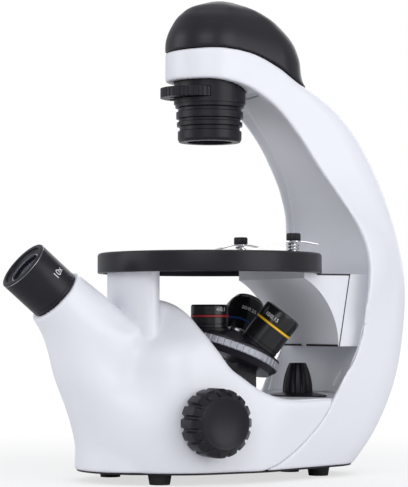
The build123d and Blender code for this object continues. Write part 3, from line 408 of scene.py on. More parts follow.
def lathe(name, profile, place=UPRIGHT, segments=96, ripple=None, angle=30):
    """Turned piece from (radius, height) points, with ripples round it if asked.

    A profile point may hold a third value, the share of the ripple there.  The profile
    runs so that the solid lies on its left, and it closes on itself or on the axis.
    """
    rows = [tuple(p) + (0.0,) * (3 - len(p)) for p in profile]
    closed = rows[0][0] > 1e-6 or rows[-1][0] > 1e-6
    turns = np.arange(segments) * 2 * pi / segments
    wave = ripple(turns) if ripple else np.zeros(segments)
    verts, rings = [], []
    for radius, height, share in rows:
        if radius < 1e-6:
            rings.append([len(verts)] * segments)
            verts.append((0, 0, height))
            continue
        rings.append(list(range(len(verts), len(verts) + segments)))
        r = radius + share * wave
        verts += list(zip(r * np.cos(turns), r * np.sin(turns), [height] * segments))
    pairs = list(zip(rings[:-1], rings[1:]))
    if closed:
        pairs.append((rings[-1], rings[0]))
    faces = []
    for a, b in pairs:
        for k in range(segments):
            n = (k + 1) % segments
            quad = [a[k], a[n], b[n], b[k]]
            quad = [v for i, v in enumerate(quad) if v != quad[i - 1]]
            if len(quad) > 2:
                faces.append(quad)
    points = [place @ Vector(v) for v in verts]
    return solid(name, points, faces, angle=angle)


def ridges(count, depth, width=0.35, sharp=3.0):
    """Ripple that cuts round grooves between ridges."""
    def shape(turns):
        phase = (turns * count / (2 * pi)) % 1.0
        near = np.abs(phase - 0.5) * 2
        groove = np.clip(1 - near / width, 0, 1)
        return -depth * (1 - (1 - groove)**sharp)
    return shape


def put(piece, body, slot, finish, *nodes):
    """Hangs a finished piece on its body and gives it its finish."""
    piece.data.materials.clear()
    piece.data.materials.append(finish)
    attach(piece, body)
    if nodes:
        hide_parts(*nodes)
    return piece


# Materials

def material(name, color, roughness=0.4, metallic=0.0, bump=0.0, bump_scale=900.0,
             mottle=0.0, coat=0.0, **inputs):
    """Principled finish with fine grain, slight mottling and soft gloss changes."""
    mottle_scale, gloss_change, grain_height = 38.0, 0.12, 0.0002
    m = bpy.data.materials.new(name)
    m.use_nodes = True
    nodes, links = m.node_tree.nodes, m.node_tree.links
    shader = nodes["Principled BSDF"]
    shader.inputs["Metallic"].default_value = metallic
    shader.inputs["Coat Weight"].default_value = coat
    shader.inputs["Coat Roughness"].default_value = 0.15
    for key, value in inputs.items():
        shader.inputs[key.replace("_", " ")].default_value = value
    place = nodes.new("ShaderNodeTexCoord")
    broad = nodes.new("ShaderNodeTexNoise")
    broad.inputs["Scale"].default_value = mottle_scale
    broad.inputs["Detail"].default_value = 3.0
    links.new(place.outputs["Object"], broad.inputs["Vector"])
    tone = nodes.new("ShaderNodeMapRange")
    tone.inputs["To Min"].default_value = 1.0 - mottle
    tone.inputs["To Max"].default_value = 1.0 + mottle
    links.new(broad.outputs["Fac"], tone.inputs["Value"])
    paint = nodes.new("ShaderNodeMix")
    paint.data_type = "RGBA"
    paint.blend_type = "MULTIPLY"
    paint.inputs["Factor"].default_value = 1.0
    paint.inputs[6].default_value = (*color, 1)
    links.new(tone.outputs["Result"], paint.inputs[7])
    links.new(paint.outputs[2], shader.inputs["Base Color"])
    gloss = nodes.new("ShaderNodeMapRange")
    gloss.inputs["To Min"].default_value = roughness * (1 - gloss_change)
    gloss.inputs["To Max"].default_value = roughness * (1 + gloss_change)
    links.new(broad.outputs["Fac"], gloss.inputs["Value"])
    links.new(gloss.outputs["Result"], shader.inputs["Roughness"])
    if bump:
        fine = nodes.new("ShaderNodeTexNoise")
        fine.inputs["Scale"].default_value = bump_scale
        fine.inputs["Detail"].default_value = 2.0
        links.new(place.outputs["Object"], fine.inputs["Vector"])
        relief = nodes.new("ShaderNodeBump")
        relief.inputs["Strength"].default_value = bump
        relief.inputs["Distance"].default_value = grain_height
        links.new(fine.outputs["Fac"], relief.inputs["Height"])
        links.new(relief.outputs["Normal"], shader.inputs["Normal"])
    return m


WHITE = material("white_plastic", (0.80, 0.81, 0.86), 0.34, bump=0.05, mottle=0.008)
# Inner cover: the shell's near-white plastic, set a little darker than the shell as
# painted shade for the recess it lines
COVER_PAINTED_SHADE = material("cover_plastic_painted_shade", (0.76, 0.77, 0.815), 0.5, bump=0.12, mottle=0.012)
BLACK = material("black_paint", (0.010, 0.009, 0.014), 0.34, bump=0.18,
                 bump_scale=1500, mottle=0.05, Specular_IOR_Level=0.27)
BLACK_PLASTIC = material("black_plastic", (0.010, 0.009, 0.014), 0.36, bump=0.15,
                         bump_scale=1100, mottle=0.05, Specular_IOR_Level=0.27)
GLOSS_BLACK = material("gloss_black", (0.010, 0.010, 0.012), 0.2, bump=0.04,
                       mottle=0.04, Specular_IOR_Level=0.4)
CAP_BLACK = material("cap_black", (0.008, 0.007, 0.012), 0.36, bump=0.1,
                     bump_scale=1300, mottle=0.04, Specular_IOR_Level=0.36)
GRIP_METAL = material("grip_metal", (0.40, 0.41, 0.45), 0.5, 0.75, bump=0.1,
                      mottle=0.03)
RUBBER = material("rubber", (0.012, 0.012, 0.012), 0.75, bump=0.3, mottle=0.1)
STEEL = material("steel", (0.55, 0.55, 0.57), 0.28, 1.0, bump=0.06, mottle=0.04)
CHROME = material("chrome", (0.72, 0.72, 0.74), 0.12, 1.0, bump=0.03, mottle=0.03)
SATIN_CHROME = material("satin_chrome", (0.62, 0.63, 0.68), 0.3, 1.0, bump=0.06,
                        mottle=0.03)
ALUMINIUM = material("aluminium", (0.52, 0.52, 0.55), 0.35, 1.0, bump=0.1, mottle=0.04)
BRASS = material("brass", (0.55, 0.40, 0.16), 0.3, 1.0, bump=0.06, mottle=0.05)
GLASS = material("lens_glass", (0.86, 0.9, 0.92), 0.03, Transmission_Weight=0.85,
                 IOR=1.5)
DARK_GLASS = material("coated_glass", (0.20, 0.22, 0.27), 0.05, Transmission_Weight=0.3,
                      IOR=1.6, coat=0.6)
MIRROR = material("mirror_coat", (0.85, 0.86, 0.88), 0.03, 1.0)
BOARD = material("circuit_board", (0.75, 0.75, 0.70), 0.4, bump=0.1, mottle=0.03)
DIODE = material("diode", (0.85, 0.78, 0.45), 0.2, mottle=0.02, coat=0.5)
RED = material("ring_red", (0.30, 0.012, 0.016), 0.4, bump=0.05, mottle=0.05)
BLUE = material("ring_blue", (0.006, 0.055, 0.22), 0.35, bump=0.05, mottle=0.05)
YELLOW = material("ring_yellow", (0.85, 0.50, 0.012), 0.35, bump=0.05, mottle=0.05)
INK = material("white_ink", (0.75, 0.75, 0.76), 0.5, bump=0.05, mottle=0.03)
DARK_STEEL = material("dark_steel", (0.30, 0.30, 0.33), 0.25, 1.0, bump=0.03,
                      mottle=0.03)
# Near-black for the strips that paint the shadow in the gaps round the stage bracket
PAINTED_GAP_SHADOW = material("painted_gap_shadow", (0.02, 0.02, 0.022), 0.8, mottle=0.05)


# Shells of the stand

def stand_field(g):
    """Front and rear of the whole stand, seen from above at every height."""
    tip, r1, ym, rm, back, r2 = smooth_rows(STAND, g.z)
    front = g.uneven_capsule(tip + r1, r1, ym, rm)
    rear = g.uneven_capsule(ym, rm, back - r2, r2)
    return front, rear


def body_field(g):
    """Front body with the scooped flanks, the tube and the pillar."""
    web_length, web_spread = 45, 4
    deck_round, tube_round, pillar_round, mouth_round = 5, 10, 1.2, 1.2
    tip, r1, ym = smooth_rows(STAND, g.z)[:3]
    rear = stand_field(g)[1]
    web = g.uneven_capsule(tip + r1, r1, np.minimum(tip + r1 + web_length, ym),
                           r1 + web_spread)
    wide = g.rounded_box(*smooth_rows(WIDE, g.z))
    # The nose meets the flanks sharply at the base, softly above it, less so on top
    scoop = 1 + 13 * step_up(g.z, 8, 34) - 9 * step_up(g.z, 70, 86)
    scooped = smooth_min(web, wide, scoop)
    plan = smooth_min(scooped, rear, 2)
    plan = np.minimum(plan, np.where(g.y > ym, rear, plan))
    behind, below, ahead = 130, -20, -140
    deck = g.side_view([tuple(p) for p in smooth_line(DECK)]
                       + [(behind, SHELF_TOP), (behind, below), (ahead, below)])
    main = smooth_max(g.true_length(plan), deck, deck_round)
    c, s = cos(radians(EYE_TILT)), sin(radians(EYE_TILT))
    tube = g.bar((-c * MOUTH, MIRROR_HEIGHT + s * MOUTH), (c, -s), MOUTH_RADIUS,
                 tan(radians(TUBE_FLARE)), 0, TUBE_LENGTH)
    mouth_plane = -(g.y + c * MOUTH) * c + (g.z - MIRROR_HEIGHT - s * MOUTH) * s
    main = smooth_max(main, mouth_plane + 1.0, 3)
    y, a, b = PILLAR
    oval = (np.hypot(g.x / a, (g.y - y) / b) - 1) * b
    oval = g.true_length(oval + 0 * g.z)
    pillar = np.maximum(np.maximum(oval, g.z - STAGE_SEAT), PILLAR_FOOT - g.z)
    whole = smooth_min(main, tube, tube_round)
    whole = smooth_max(whole, mouth_plane, mouth_round)
    return smooth_min(whole, pillar, pillar_round)


def arm_outline(gap):
    """Side view of the arm: the crescent edge, the cap edge and far behind."""
    head, behind, behind_top = 215, 140, 220
    inner = [(y + gap, z + (gap if z > head else 0)) for y, z in smooth_line(CRESCENT)]
    top = [tuple(p) for p in smooth_line(CAP_EDGE)]
    return inner + top + [(behind, behind_top), (behind, 0), (CRESCENT[0][0] + gap, 0)]


def channel_field(g):
    """Recess along the inner face of the arm."""
    y, a, b = smooth_rows(CHANNEL, g.z)
    reach = np.hypot(g.x / a, (g.y - y) / b)
    ends = np.maximum(CHANNEL[0][0] - g.z, g.z - CHANNEL[-1][0])
    return np.maximum((reach - 1) * b, ends)


def under_shelf(g):
    """Hollow below the shelf."""
    return g.z - (SHELF_TOP - SHELF_THICKNESS - WALL)


def arm_and_cover(g):
    """Fields of the hollow arm and of the cover that lines its recess."""
    edge_round, foot_round, recess_round = 1.6, 1.0, 1.8
    outer = g.true_length(np.minimum(*stand_field(g)))
    slab = g.side_view(arm_outline(0))
    channel = g.true_length(channel_field(g))
    arm = smooth_max(outer, slab, edge_round)
    arm = smooth_max(arm, SHELL_BOTTOM - g.z, foot_round)
    arm = smooth_max(arm, -channel, recess_round)
    upper_room = np.maximum(np.maximum(outer, slab), -channel) + WALL
    upper_room = np.maximum(upper_room, g.z - HEAD_ROOF)
    lower_room = np.maximum(np.maximum(outer + WALL, under_shelf(g)), ROOM_FRONT - g.y)
    radius, low = LAMP_HOLE
    lamp_hole = np.maximum(np.hypot(g.x, g.y) - radius, low - g.z)
    arm = np.maximum(np.maximum(arm, -np.minimum(upper_room, lower_room)), -lamp_hole)

    cover = np.maximum(-LINING - channel, channel - WALL)
    cover = np.maximum(cover, np.maximum(outer + RIM / 2, slab + RIM))
    cover = np.maximum(cover, np.maximum(COVER_FOOT - g.z, g.z - CHANNEL[-1][0] + 1))
    return arm, np.maximum(cover, -g.rod(*COVER_SLOT))


def body_shell(g):
    """Field of the hollow front body with its openings."""
    foot_round = 1.0
    whole = smooth_max(body_field(g), SHELL_BOTTOM - g.z, foot_round)
    body = np.maximum(whole, -g.side_view(arm_outline(-SEAM)))
    room = np.minimum(body + WALL, np.maximum(whole + WALL, under_shelf(g)))
    room_below, room_above = 6, 5
    over_shelf = np.maximum(SHELF_TOP - room_below - g.z, g.z - SHELF_TOP - room_above)
    shelf_room = np.maximum(whole + WALL, np.maximum(SHELF_FRONT - g.y, over_shelf))
    half, front, rear, low, high = TURRET_HOLE
    opening = np.maximum(
        np.maximum(g.x - half, np.abs(g.y - (front + rear) / 2) - (rear - front) / 2),
        np.maximum(low - g.z, g.z - high))
    c, s = cos(radians(EYE_TILT)), sin(radians(EYE_TILT))
    sleeve = g.bar((-c * MOUTH, MIRROR_HEIGHT + s * MOUTH), (c, -s), SLEEVE_RADIUS, 0,
                   -3, SLEEVE_DEPTH)
    radius, start = FOCUS_BOSS
    shaft = np.hypot(g.y - FOCUS_AXIS[0], g.z - FOCUS_AXIS[1]) - radius
    for hollow in (room, shelf_room, opening, sleeve, np.maximum(shaft, start - g.x)):
        body = np.maximum(body, -hollow)
    return body


def shells():
    """Front body, arm and inner cover, each a closed mesh with its wall."""
    g = Grid((0, -125, 2), (54, 128, 246), SHELL_PITCH)
    arm, cover = arm_and_cover(g)
    pieces = (
        ("front_body", body_shell(g), WHITE, "white_shell",
         ("base_shell_left", "base_shell_right")),
        ("curved_arm", arm, WHITE, "white_shell", ("arm_shell_left", "arm_shell_right")),
        ("inner_cover", cover, COVER_PAINTED_SHADE, "inner_grey", ("arm_inner_cover",)),
    )
    for name, field, finish, slot, nodes in pieces:
        put(surface(name, g, field), "stand", slot, finish, *nodes)


def head_cap():
    """Black domed cover over the lamp."""
    g = Grid((0, -30, 200), (28, 80, 270), CAP_PITCH)
    dome = g.uneven_capsule(*smooth_rows(CAP, g.z))
    dome = g.true_length(np.maximum(dome, g.z - CAP[-1][0]))
    edge = [(y, z + CAP_GAP) for y, z in smooth_line(CAP_EDGE)]
    behind, above, ahead = 90, 300, -40
    outline = edge + [(behind, edge[-1][1]), (behind, above), (ahead, above),
                      (ahead, edge[0][1])]
    form = smooth_max(dome, g.side_view(outline), 0.9)
    form = np.maximum(form, -(dome + CAP_WALL))
    put(surface("head_cap_cover", g, form), "stand", "black_plastic", CAP_BLACK,
        "head_cap")


# Turned pieces, prints and clips

def at_eye(distance):
    """Place on the eyepiece axis, its distance counted from the mirror."""
    c, n = cos(radians(EYE_TILT)), sin(radians(EYE_TILT))
    return axis_frame((0, -c * distance, MIRROR_HEIGHT + n * distance), (0, -c, n))


def at_objective(index):
    """Place of an objective's seat, turned round the turret axis."""
    n, c = sin(radians(TURRET_TILT)), cos(radians(TURRET_TILT))
    centre = Matrix.Translation((0, 0, LEAN_POINT))
    turn = Matrix.Rotation(radians(120 * index), 4, Vector((0, n, c)))
    return centre @ turn @ Matrix.Translation((0, 0, SEAT))


def band(name, inner, outer, low, high, place, bevel=0.15, **options):
    """Ring with bevelled outer edges."""
    return lathe(name, [(inner, low), (outer - bevel, low), (outer, low + bevel),
                        (outer, high - bevel), (outer - bevel, high), (inner, high)],
                 place, **options)


def print_round(name, text, size, radius, place, turn, height, finish, body):
    """Thin print bent round a turned piece, read with its axis pointing up."""
    half_thickness, lift = 0.03, 0.06
    curve = bpy.data.curves.new(name, "FONT")
    curve.body = text
    curve.size = size
    curve.align_x = "CENTER"
    curve.extrude = half_thickness
    helper = bpy.data.objects.new(name, curve)
    flat = bpy.data.meshes.new_from_object(helper)
    verts = []
    for v in flat.vertices:
        angle = turn + v.co.x / radius
        r = radius + lift + v.co.z
        verts.append(place @ Vector((r * cos(angle), r * sin(angle),
                                     height + v.co.y)))
    faces = [list(p.vertices) for p in flat.polygons]
    bpy.data.objects.remove(helper)
    bpy.data.meshes.remove(flat)
    bpy.data.curves.remove(curve)
    return put(solid(name, verts, faces, smooth=False), body, None, finish)


def objectives():
    """Bevelled barrels with a colour ring, fine grip lines and their power."""
    # Power, seat, barrel radius, length, tip radius, length of the taper, height and
    # colour of the ring, print, its turn round the barrel, and its rise over the ring
    table = (
        ("4x", 0, 10.6, 13.2, 10.0, 0.9, 6.1, RED, "4/0.1", 0.15, 3.4),
        ("10x", 1, 11.2, 23.3, 9.2, 1.6, 12.8, YELLOW, "10/0.15", -2.92, 3.4),
        ("20x", 2, 11.7, 31.0, 7.8, 6.5, 10.3, BLUE, "20/0.25", 1.75, 7.6),
    )
    groove, ring_height, print_size = 0.25, 1.3, 3.1
    for (power, index, barrel, length, tip, taper, ring, colour, text, turn,
         rise) in table:
        place = at_objective(index)
        shoulder = length - taper
        waist = barrel - groove
        profile = [
            (5.0, -3.0), (9.0, -3.0), (9.0, 0.0), (barrel - 0.5, 0.0),
            (barrel, 0.4), (barrel, 1.8), (waist, 2.0), (waist, 2.5),
            (barrel, 2.7), (barrel, ring - groove), (waist, ring),
            (waist, ring + ring_height), (barrel, ring + ring_height + groove)]
        if power == "20x":
            profile += [(barrel, shoulder - 0.6), (waist, shoulder),
                        (barrel - 1.0, shoulder + 2.6), (barrel - 1.4, shoulder + 2.9),
                        (barrel - 2.6, shoulder + 5.7), (tip - 0.5, length)]
        else:
            profile += [(barrel, shoulder), (barrel - 0.35, shoulder + 0.6 * taper),
                        (tip, length)]
        profile += [(4.6, length), (4.0, length - 0.5), (4.0, length - 3.0),
                    (5.0, length - 3.0)]
        put(lathe("barrel_" + power, profile, place, 128), "turret", "black_satin",
            GLOSS_BLACK, "objective_" + power)
        put(band("colour_ring_" + power, barrel - 0.6, barrel + 0.02, ring,
                 ring + ring_height, place, 0.1, segments=128), "turret", None, colour)
        print_round("power_" + power, text, print_size, barrel, place, turn, ring + rise,
                    INK, "turret")


def eyepiece():
    """Black head with a bright rim, a recessed seat and a print of its power."""
    place = at_eye(MOUTH + 0.3)
    radius, length = 15.0, 25.0
    put(lathe("eyepiece_cover", [
        (11.6, 0.0), (radius - 0.5, 0.0), (radius, 0.5), (radius, 1.6),
        (radius - 0.2, 1.8), (radius - 0.2, 2.1), (radius, 2.3), (radius, length - 1.0),
        (radius - 0.35, length - 0.35), (radius - 1.0, length), (12.9, length),
        (12.4, length - 0.4), (12.2, length - 1.3), (10.4, length - 1.9),
        (9.4, length - 2.4), (9.0, length - 3.0), (9.0, length - 5.0),
        (10.0, length - 5.0), (10.0, 5.0), (11.6, 5.0)], place, 160),
        "eyepiece", "black_satin", BLACK, "eyepiece_head")
    put(band("rim_line", radius - 0.9, radius + 0.02, length - 1.25, length - 0.85,
             place, 0.08, segments=160), "eyepiece", "steel", DARK_STEEL)
    put(band("lens_ring", 9.0, 9.9, length - 2.95, length - 2.15, place, 0.3,
             segments=128), "eyepiece", "chrome", SATIN_CHROME)
    print_round("eyepiece_power", "10x", 5.2, radius, place, 0.45, 9.0, INK,
                "eyepiece")


def knobs():
    """Focus knobs with rounded ridges round a shallow dish."""
    ridge = ridges(FOCUS_RIDGES, 1.8, 0.36, 2.4)
    for side, name in ((-1, "left"), (1, "right")):
        place = axis_frame((0, *FOCUS_AXIS), (side, 0, 0), (0, 1, 0))
        put(lathe("knob_" + name, [
            (2.5, 50.5), (16.9, 50.5, 0.4), (17.9, 50.8, 1.0), (18.4, 51.5, 1.0),
            (18.4, 62.2, 1.0), (18.0, 63.3, 1.0), (17.2, 64.3, 0.9),
            (15.8, 65.8, 0.45), (14.9, 66.8, 0.12), (14.2, 67.7), (13.6, 68.0),
            (12.9, 67.8), (11.8, 67.2), (9.5, 66.4), (6.0, 65.8), (3.0, 65.5),
            (0.0, 65.4), (0.0, 62.0), (2.5, 62.0)], place, 256, ridge, 32),
            "focus_drive", "black_plastic", BLACK_PLASTIC, "focus_knob_" + name)


def dimmer():
    """Fluted brightness knob, slimmer towards its top."""
    place = axis_frame((0, DIMMER_Y, 0), (0, 0, 1))
    low = SHELF_TOP + DIMMER_GAP + DIMMER_LIFT
    high = low + DIMMER_HEIGHT
    foot_radius, narrowing, steps = 8.6, 3.6, 12
    flute = ridges(DIMMER_FLUTES, 1.15, 0.42, 1.8)
    profile = [(3.0, low), (8.2, low, 0.2), (foot_radius, low + 0.4, 0.35)]
    for k in range(steps + 1):
        t = k / steps
        depth = 0.35 + 0.65 * min(1, 3 * t)
        profile.append((foot_radius - narrowing * t**2.1,
                        low + 0.6 + t * (DIMMER_HEIGHT - 1.3), depth))
    profile += [(4.6, high - 0.15, 0.3), (4.2, high, 0.1), (0.0, high),
                (0.0, low + 8), (3.0, low + 8)]
    put(lathe("brightness_knob", profile, place, 192, flute, 35), "dimmer",
        "black_plastic", BLACK_PLASTIC, "dimmer_knob")


def stage():
    """Stage with a smooth rolled edge, its screw bosses, and its loose ring."""
    top, low, under = STAGE_TOP, STAGE_LOW, STAGE_UNDER
    seat, outer, ring = STAGE_SEAT, STAGE_RADIUS, INSERT_RADIUS
    ledge, skirt_wall, seat_depth = 17.5, 3.0, 3.0
    put(lathe("round_stage", [
        (ledge, seat), (ring + 3, seat), (ring + 3, under), (outer - skirt_wall, under),
        (outer - skirt_wall, low + 0.3), (outer - 2.6, low), (outer - 0.5, low),
        (outer, low + 0.5), (outer, top - 1.8), (outer - 0.24, top - 0.9),
        (outer - 0.9, top - 0.24), (outer - 1.8, top), (ring + 0.4, top),
        (ring + 0.1, top - 0.3), (ring + 0.1, top - seat_depth),
        (ledge, top - seat_depth)], UPRIGHT, 256),
        "stand", "black_satin", BLACK, "stage_plate")
    for x, y in STAGE_SCREWS:
        put(lathe("boss", [(2.1, seat), (4.7, seat), (5.0, seat + 0.3),
                           (5.0, under + 0.5), (2.1, under + 0.5)],
                  axis_frame((x, y, 0), (0, 0, 1)), 48), "stand", "black_satin", BLACK)
    put(lathe("loose_ring", [
        (10.0, top - seat_depth), (ring, top - seat_depth), (ring, top - 0.35),
        (ring - 0.35, top), (10.5, top), (10.0, top - 0.5)], UPRIGHT, 192),
        "insert", "black_satin", BLACK, "stage_insert")


def strip(name, line, width, thickness, place):
    """Bent sheet along a side line of (y, z) points, with slightly rounded edges."""
    p = np.array(line, float)
    t = np.gradient(p, axis=0)
    t /= np.linalg.norm(t, axis=1)[:, None]
    normal = np.stack([-t[:, 1], t[:, 0]], -1)
    bevel = 0.12
    half = width / 2
    ring = ((-half, bevel), (-half + bevel, 0), (half - bevel, 0), (half, bevel),
            (half, thickness - bevel), (half - bevel, thickness),
            (-half + bevel, thickness), (-half, thickness - bevel))
    verts, faces = [], []
    for (y, z), (ny, nz) in zip(p, normal):
        for x, lift in ring:
            verts.append(place @ Vector((x, y + ny * lift, z + nz * lift)))
    n = len(ring)
    for i in range(len(p) - 1):
        for k in range(n):
            a, b = i * n + k, i * n + (k + 1) % n
            faces.append((a, b, b + n, a + n))
    faces.append(tuple(range(n - 1, -1, -1)))
    faces.append(tuple(range(len(verts) - n, len(verts))))
    return solid(name, verts, faces, angle=40)


def coil(name, radius, wire, turns, low, high, place, steps=28, sides=10):
    """Round wire wound about the third axis of a place."""
    verts, faces = [], []
    count = int(turns * steps)
    pitch = (high - low) / turns
    for i in range(count + 1):
        angle = 2 * pi * i / steps
        height = low + pitch * i / steps
        for k in range(sides):
            t = 2 * pi * k / sides
            r = radius + wire * cos(t)
            verts.append(place @ Vector((r * cos(angle), r * sin(angle),
                                         height + wire * sin(t))))
    for i in range(count):
        for k in range(sides):
            a, b = i * sides + k, i * sides + (k + 1) % sides
            faces.append((a, a + sides, b + sides, b))
    faces.append(tuple(range(sides)))
    faces.append(tuple(range(len(verts) - 1, len(verts) - 1 - sides, -1)))
    return solid(name, verts, faces)


def skirt():
    """Low oval cone on the shelf round the foot of the brightness knob."""
    foot, steps = SHELF_TOP + DIMMER_GAP, 96
    # Half width, half depth and height over the foot of each ring after the middle point
    rings = ((24.0, 12.6, 0.0), (24.2, 12.8, 0.3), (24.0, 12.6, 0.6), (9.6, 9.4, 1.8),
             (9.1, 9.1, 1.7), (9.0, 9.0, 1.0), (3.0, 3.0, 1.0))
    verts = [(0, DIMMER_Y, foot)]
    for a, b, rise in rings:
        verts += [(a * cos(2 * pi * k / steps), DIMMER_Y + b * sin(2 * pi * k / steps),
                   foot + rise) for k in range(steps)]
    faces = []
    for k in range(steps):
        n = (k + 1) % steps
        faces.append((0, 1 + n, 1 + k))
        for row in range(len(rings) - 1):
            a = 1 + row * steps
            faces.append((a + k, a + n, a + steps + n, a + steps + k))
    last = 1 + (len(rings) - 1) * steps
    faces.append(tuple(last + k for k in range(steps)))
    put(solid("dimmer_plate", verts, faces, angle=30), "stand", "black_plastic", BLACK,
        "dimmer_skirt")


def painted_shadow_strip(name, outline, x1, x2):
    """Closed dark piece, painted shadow, between two places of one side outline of four
    points.
    """
    verts = [(x, y, z) for x in sorted((x1, x2)) for y, z in outline]
    faces = [(3, 2, 1, 0), (4, 5, 6, 7)]
    faces += [(k, (k + 1) % 4, (k + 1) % 4 + 4, k + 4) for k in range(4)]
    put(solid(name, verts, faces, smooth=False), "stand", None, PAINTED_GAP_SHADOW)


def painted_bracket_gap_shadows():
    """Painted shadow in the gaps where the bracket meets the inner cover, drawn as narrow
    dark strips.
    """
    half, low, high = 37.0, 73.3, 113.9      # half width and ends of the bracket's sides
    inset, proud = 0.3, 0.12
    rear = [(62.2, low), (62.8, low), (69.9, high), (69.3, high)]
    top = [(48.0, high - 0.9), (69.9, high - 0.9), (69.9, high), (48.0, high)]
    slot = [(61.6, low - 0.2), (63.0, low - 0.2), (63.0, low + 1.0), (61.6, low + 1.0)]
    slot_shadow_start, slot_shadow_end = 3.0, half - 0.5
    # Dark strips on the bracket's sides paint the shadow behind its rear edge, under its
    # top and in the slot at its foot
    for side in (-1, 1):
        painted_shadow_strip("bracket_joint_painted_shadow", rear, side * (half - inset), side * (half + proud))
        painted_shadow_strip("bracket_top_joint_painted_shadow", top, side * (half - inset), side * (half + proud))
        painted_shadow_strip("bracket_slot_painted_shadow", slot, side * slot_shadow_start, side * slot_shadow_end)


def bottom_plate():
    """Bottom plate drawn in under the nose, where the shell stands back a little."""
    start, share = -50.0, 0.895
    mesh = frame["nodes"]["base_plate"].data
    verts = [tuple(v.co / MM) for v in mesh.vertices]
    verts = [(x, start + (y - start) * share if y < start else y, z)
             for x, y, z in verts]
    faces = [list(p.vertices) for p in mesh.polygons]
    put(solid("bottom_plate", verts, faces, angle=CREASE), "stand", "black_satin", BLACK,
        "base_plate")


def clips():
    """Sprung leaves with their knurled nuts and springs."""
    nut_low = NUT_TOP - NUT_HEIGHT
    leaf_low = nut_low - LEAF_THICKNESS
    for side, name in ((-1, "left"), (1, "right")):
        place = (Matrix.Translation((side * CLIP_STUD[0], CLIP_STUD[1], 0))
                 @ Matrix.Rotation(radians(-side * CLIP_TURN), 4, "Z"))
        line = smooth_line([(14.0, leaf_low - 1.4), (10.0, leaf_low - 0.7),
                            (5.0, leaf_low), (0.0, leaf_low), (-5.0, leaf_low),
                            (-11.0, leaf_low - 1.2), (-20.0, STAGE_TOP + 2.3),
                            (-27.5, STAGE_TOP + 0.4), (-30.0, STAGE_TOP + 0.75),
                            (-32.0, STAGE_TOP + 2.1)], 0.6)
        leaf = strip("leaf", line[::-1], LEAF_WIDTH, LEAF_THICKNESS, place)
        eye = band("leaf_eye", 2.3, 4.2, leaf_low, nut_low, place, 0.12, segments=64)
        put(leaf, "leaf_" + name, "chrome", CHROME, "clip_leaf_" + name)
        put(eye, "leaf_" + name, "chrome", CHROME)
        put(lathe("nut", [
            (1.65, nut_low), (3.6, nut_low, 0.5), (4.0, nut_low + 0.3, 1.0),
            (4.0, NUT_TOP - 0.6, 1.0), (3.5, NUT_TOP, 0.4), (0.0, NUT_TOP),
            (0.0, NUT_TOP - 0.9), (1.65, NUT_TOP - 0.9)], place, 160,
            ridges(20, 0.35, 0.8, 1.5), 40), "clip_" + name, "black_plastic",
            BLACK_PLASTIC, "clip_cap_" + name)
        spring = coil("spring", SPRING_RADIUS, SPRING_WIRE, SPRING_TURNS,
                      STAGE_TOP + SPRING_WIRE, leaf_low - SPRING_WIRE - 0.1, place)
        put(spring, "clip_" + name, "steel", STEEL, "clip_spring_" + name)
        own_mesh(spring)


# Camera, light and floor

def studio():
    """Camera at the photograph's view, soft lamps, pale floor."""
    data = bpy.data.cameras.new("camera")
    camera = bpy.data.objects.new("camera", data)
    bpy.context.scene.collection.objects.link(camera)
    data.lens = CAMERA_LENS
    data.sensor_width = SENSOR_WIDTH
    camera.location = Vector(CAMERA_PLACE) * MM
    camera.rotation_euler = (radians(90 + CAMERA_PITCH), 0, radians(CAMERA_YAW))
    bpy.context.scene.camera = camera
    data.clip_start = 0.05

    far = FLOOR_REACH
    floor = solid("floor", [(-far, -far, 0), (far, -far, 0), (far, far, 0),
                            (-far, far, 0)], [(0, 1, 2, 3)])
    floor.data.materials.append(backdrop("floor_paper", 0.8))
    world = bpy.data.worlds.new("world")
    bpy.context.scene.world = world
    world.use_nodes = True
    nodes, links = world.node_tree.nodes, world.node_tree.links
    back = nodes["Background"]
    back.inputs["Color"].default_value = (0.93, 0.95, 1.0, 1)
    back.inputs["Strength"].default_value = WORLD_LIGHT
    white = nodes.new("ShaderNodeBackground")
    white.inputs["Color"].default_value = (1, 1, 1, 1)
    mix = nodes.new("ShaderNodeMixShader")
    links.new(seen_directly(nodes, links), mix.inputs["Fac"])
    links.new(back.outputs[0], mix.inputs[1])
    links.new(white.outputs[0], mix.inputs[2])
    links.new(mix.outputs[0], nodes["World Output"].inputs["Surface"])

    for name, place, size, power in LAMPS:
        lamp = bpy.data.lights.new(name, "AREA")
        lamp.shape = "RECTANGLE"
        lamp.size, lamp.size_y = size[0] * MM, size[1] * MM
        lamp.energy = power
        holder = bpy.data.objects.new(name, lamp)
        bpy.context.scene.collection.objects.link(holder)
        holder.location = Vector(place) * MM
        aim = Vector(LAMP_AIM) * MM - holder.location
        holder.rotation_euler = aim.to_track_quat("-Z", "Y").to_euler()
    bpy.context.scene.view_settings.view_transform = "Standard"


def seen_directly(nodes, links):
    """1 where the camera sees a thing directly or through glass."""
    path = nodes.new("ShaderNodeLightPath")
    total = nodes.new("ShaderNodeMath")
    total.operation = "ADD"
    total.use_clamp = True
    links.new(path.outputs["Is Camera Ray"], total.inputs[0])
    links.new(path.outputs["Is Transmission Ray"], total.inputs[1])
    return total.outputs[0]


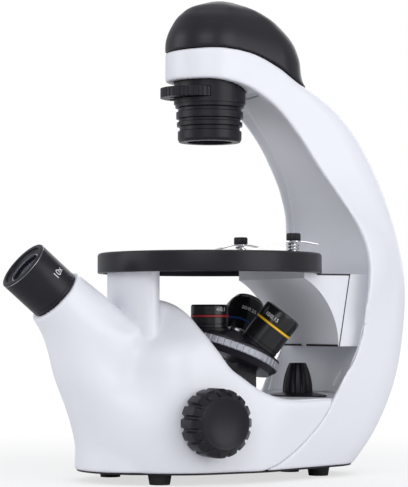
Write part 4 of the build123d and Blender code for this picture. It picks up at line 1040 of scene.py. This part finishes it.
def backdrop(name, tone):
    """Paper floor that shows white, keeps the shadow and fades out to plain white."""
    m = bpy.data.materials.new(name)
    m.use_nodes = True
    nodes, links = m.node_tree.nodes, m.node_tree.links
    shader = nodes["Principled BSDF"]
    shader.inputs["Base Color"].default_value = (tone, tone, tone, 1)
    shader.inputs["Roughness"].default_value = 0.9
    shader.inputs["Specular IOR Level"].default_value = 0.1
    glow = nodes.new("ShaderNodeEmission")
    glow.inputs["Color"].default_value = (1, 1, 1, 1)
    glow.inputs["Strength"].default_value = FLOOR_GLOW
    place = nodes.new("ShaderNodeTexCoord")
    reach = nodes.new("ShaderNodeVectorMath")
    reach.operation = "LENGTH"
    links.new(place.outputs["Object"], reach.inputs[0])
    fade = nodes.new("ShaderNodeMapRange")
    for key, value in FLOOR_FADE.items():
        fade.inputs[key].default_value = value
    links.new(reach.outputs["Value"], fade.inputs["Value"])
    share = nodes.new("ShaderNodeMath")
    share.operation = "MULTIPLY"
    links.new(seen_directly(nodes, links), share.inputs[0])
    links.new(fade.outputs["Result"], share.inputs[1])
    mix = nodes.new("ShaderNodeMixShader")
    links.new(share.outputs[0], mix.inputs["Fac"])
    links.new(shader.outputs[0], mix.inputs[1])
    links.new(glow.outputs[0], mix.inputs[2])
    links.new(mix.outputs[0], nodes["Material Output"].inputs["Surface"])
    return m


def carried_nodes():
    """Finishes for the nodes that keep their own mesh."""
    finish = {
        "white_shell": WHITE, "inner_grey": COVER_PAINTED_SHADE, "black_satin": BLACK,
        "black_plastic": BLACK_PLASTIC, "rubber": RUBBER, "steel": STEEL,
        "chrome": CHROME, "alu": ALUMINIUM, "brass": BRASS, "glass": GLASS,
        "dark_glass": DARK_GLASS, "mirror": MIRROR, "board": BOARD, "led": DIODE,
    }
    slots = {s["node"]: s["material_slot"] for s in frame["record"]["subparts"]}
    own = {"turret_grip": GRIP_METAL, "nosepiece_base": BLACK, "focus_carriage": BLACK}
    for name, node in frame["nodes"].items():
        node.data.materials.clear()
        node.data.materials.append(own.get(name, finish[slots[name]]))
        node.data.polygons.foreach_set("use_smooth", [True] * len(node.data.polygons))
        node.data.set_sharp_from_angle(angle=radians(CREASE))


carried_nodes()
studio()
shells()
head_cap()
objectives()
eyepiece()
knobs()
dimmer()
skirt()
painted_bracket_gap_shadows()
bottom_plate()
stage()
clips()
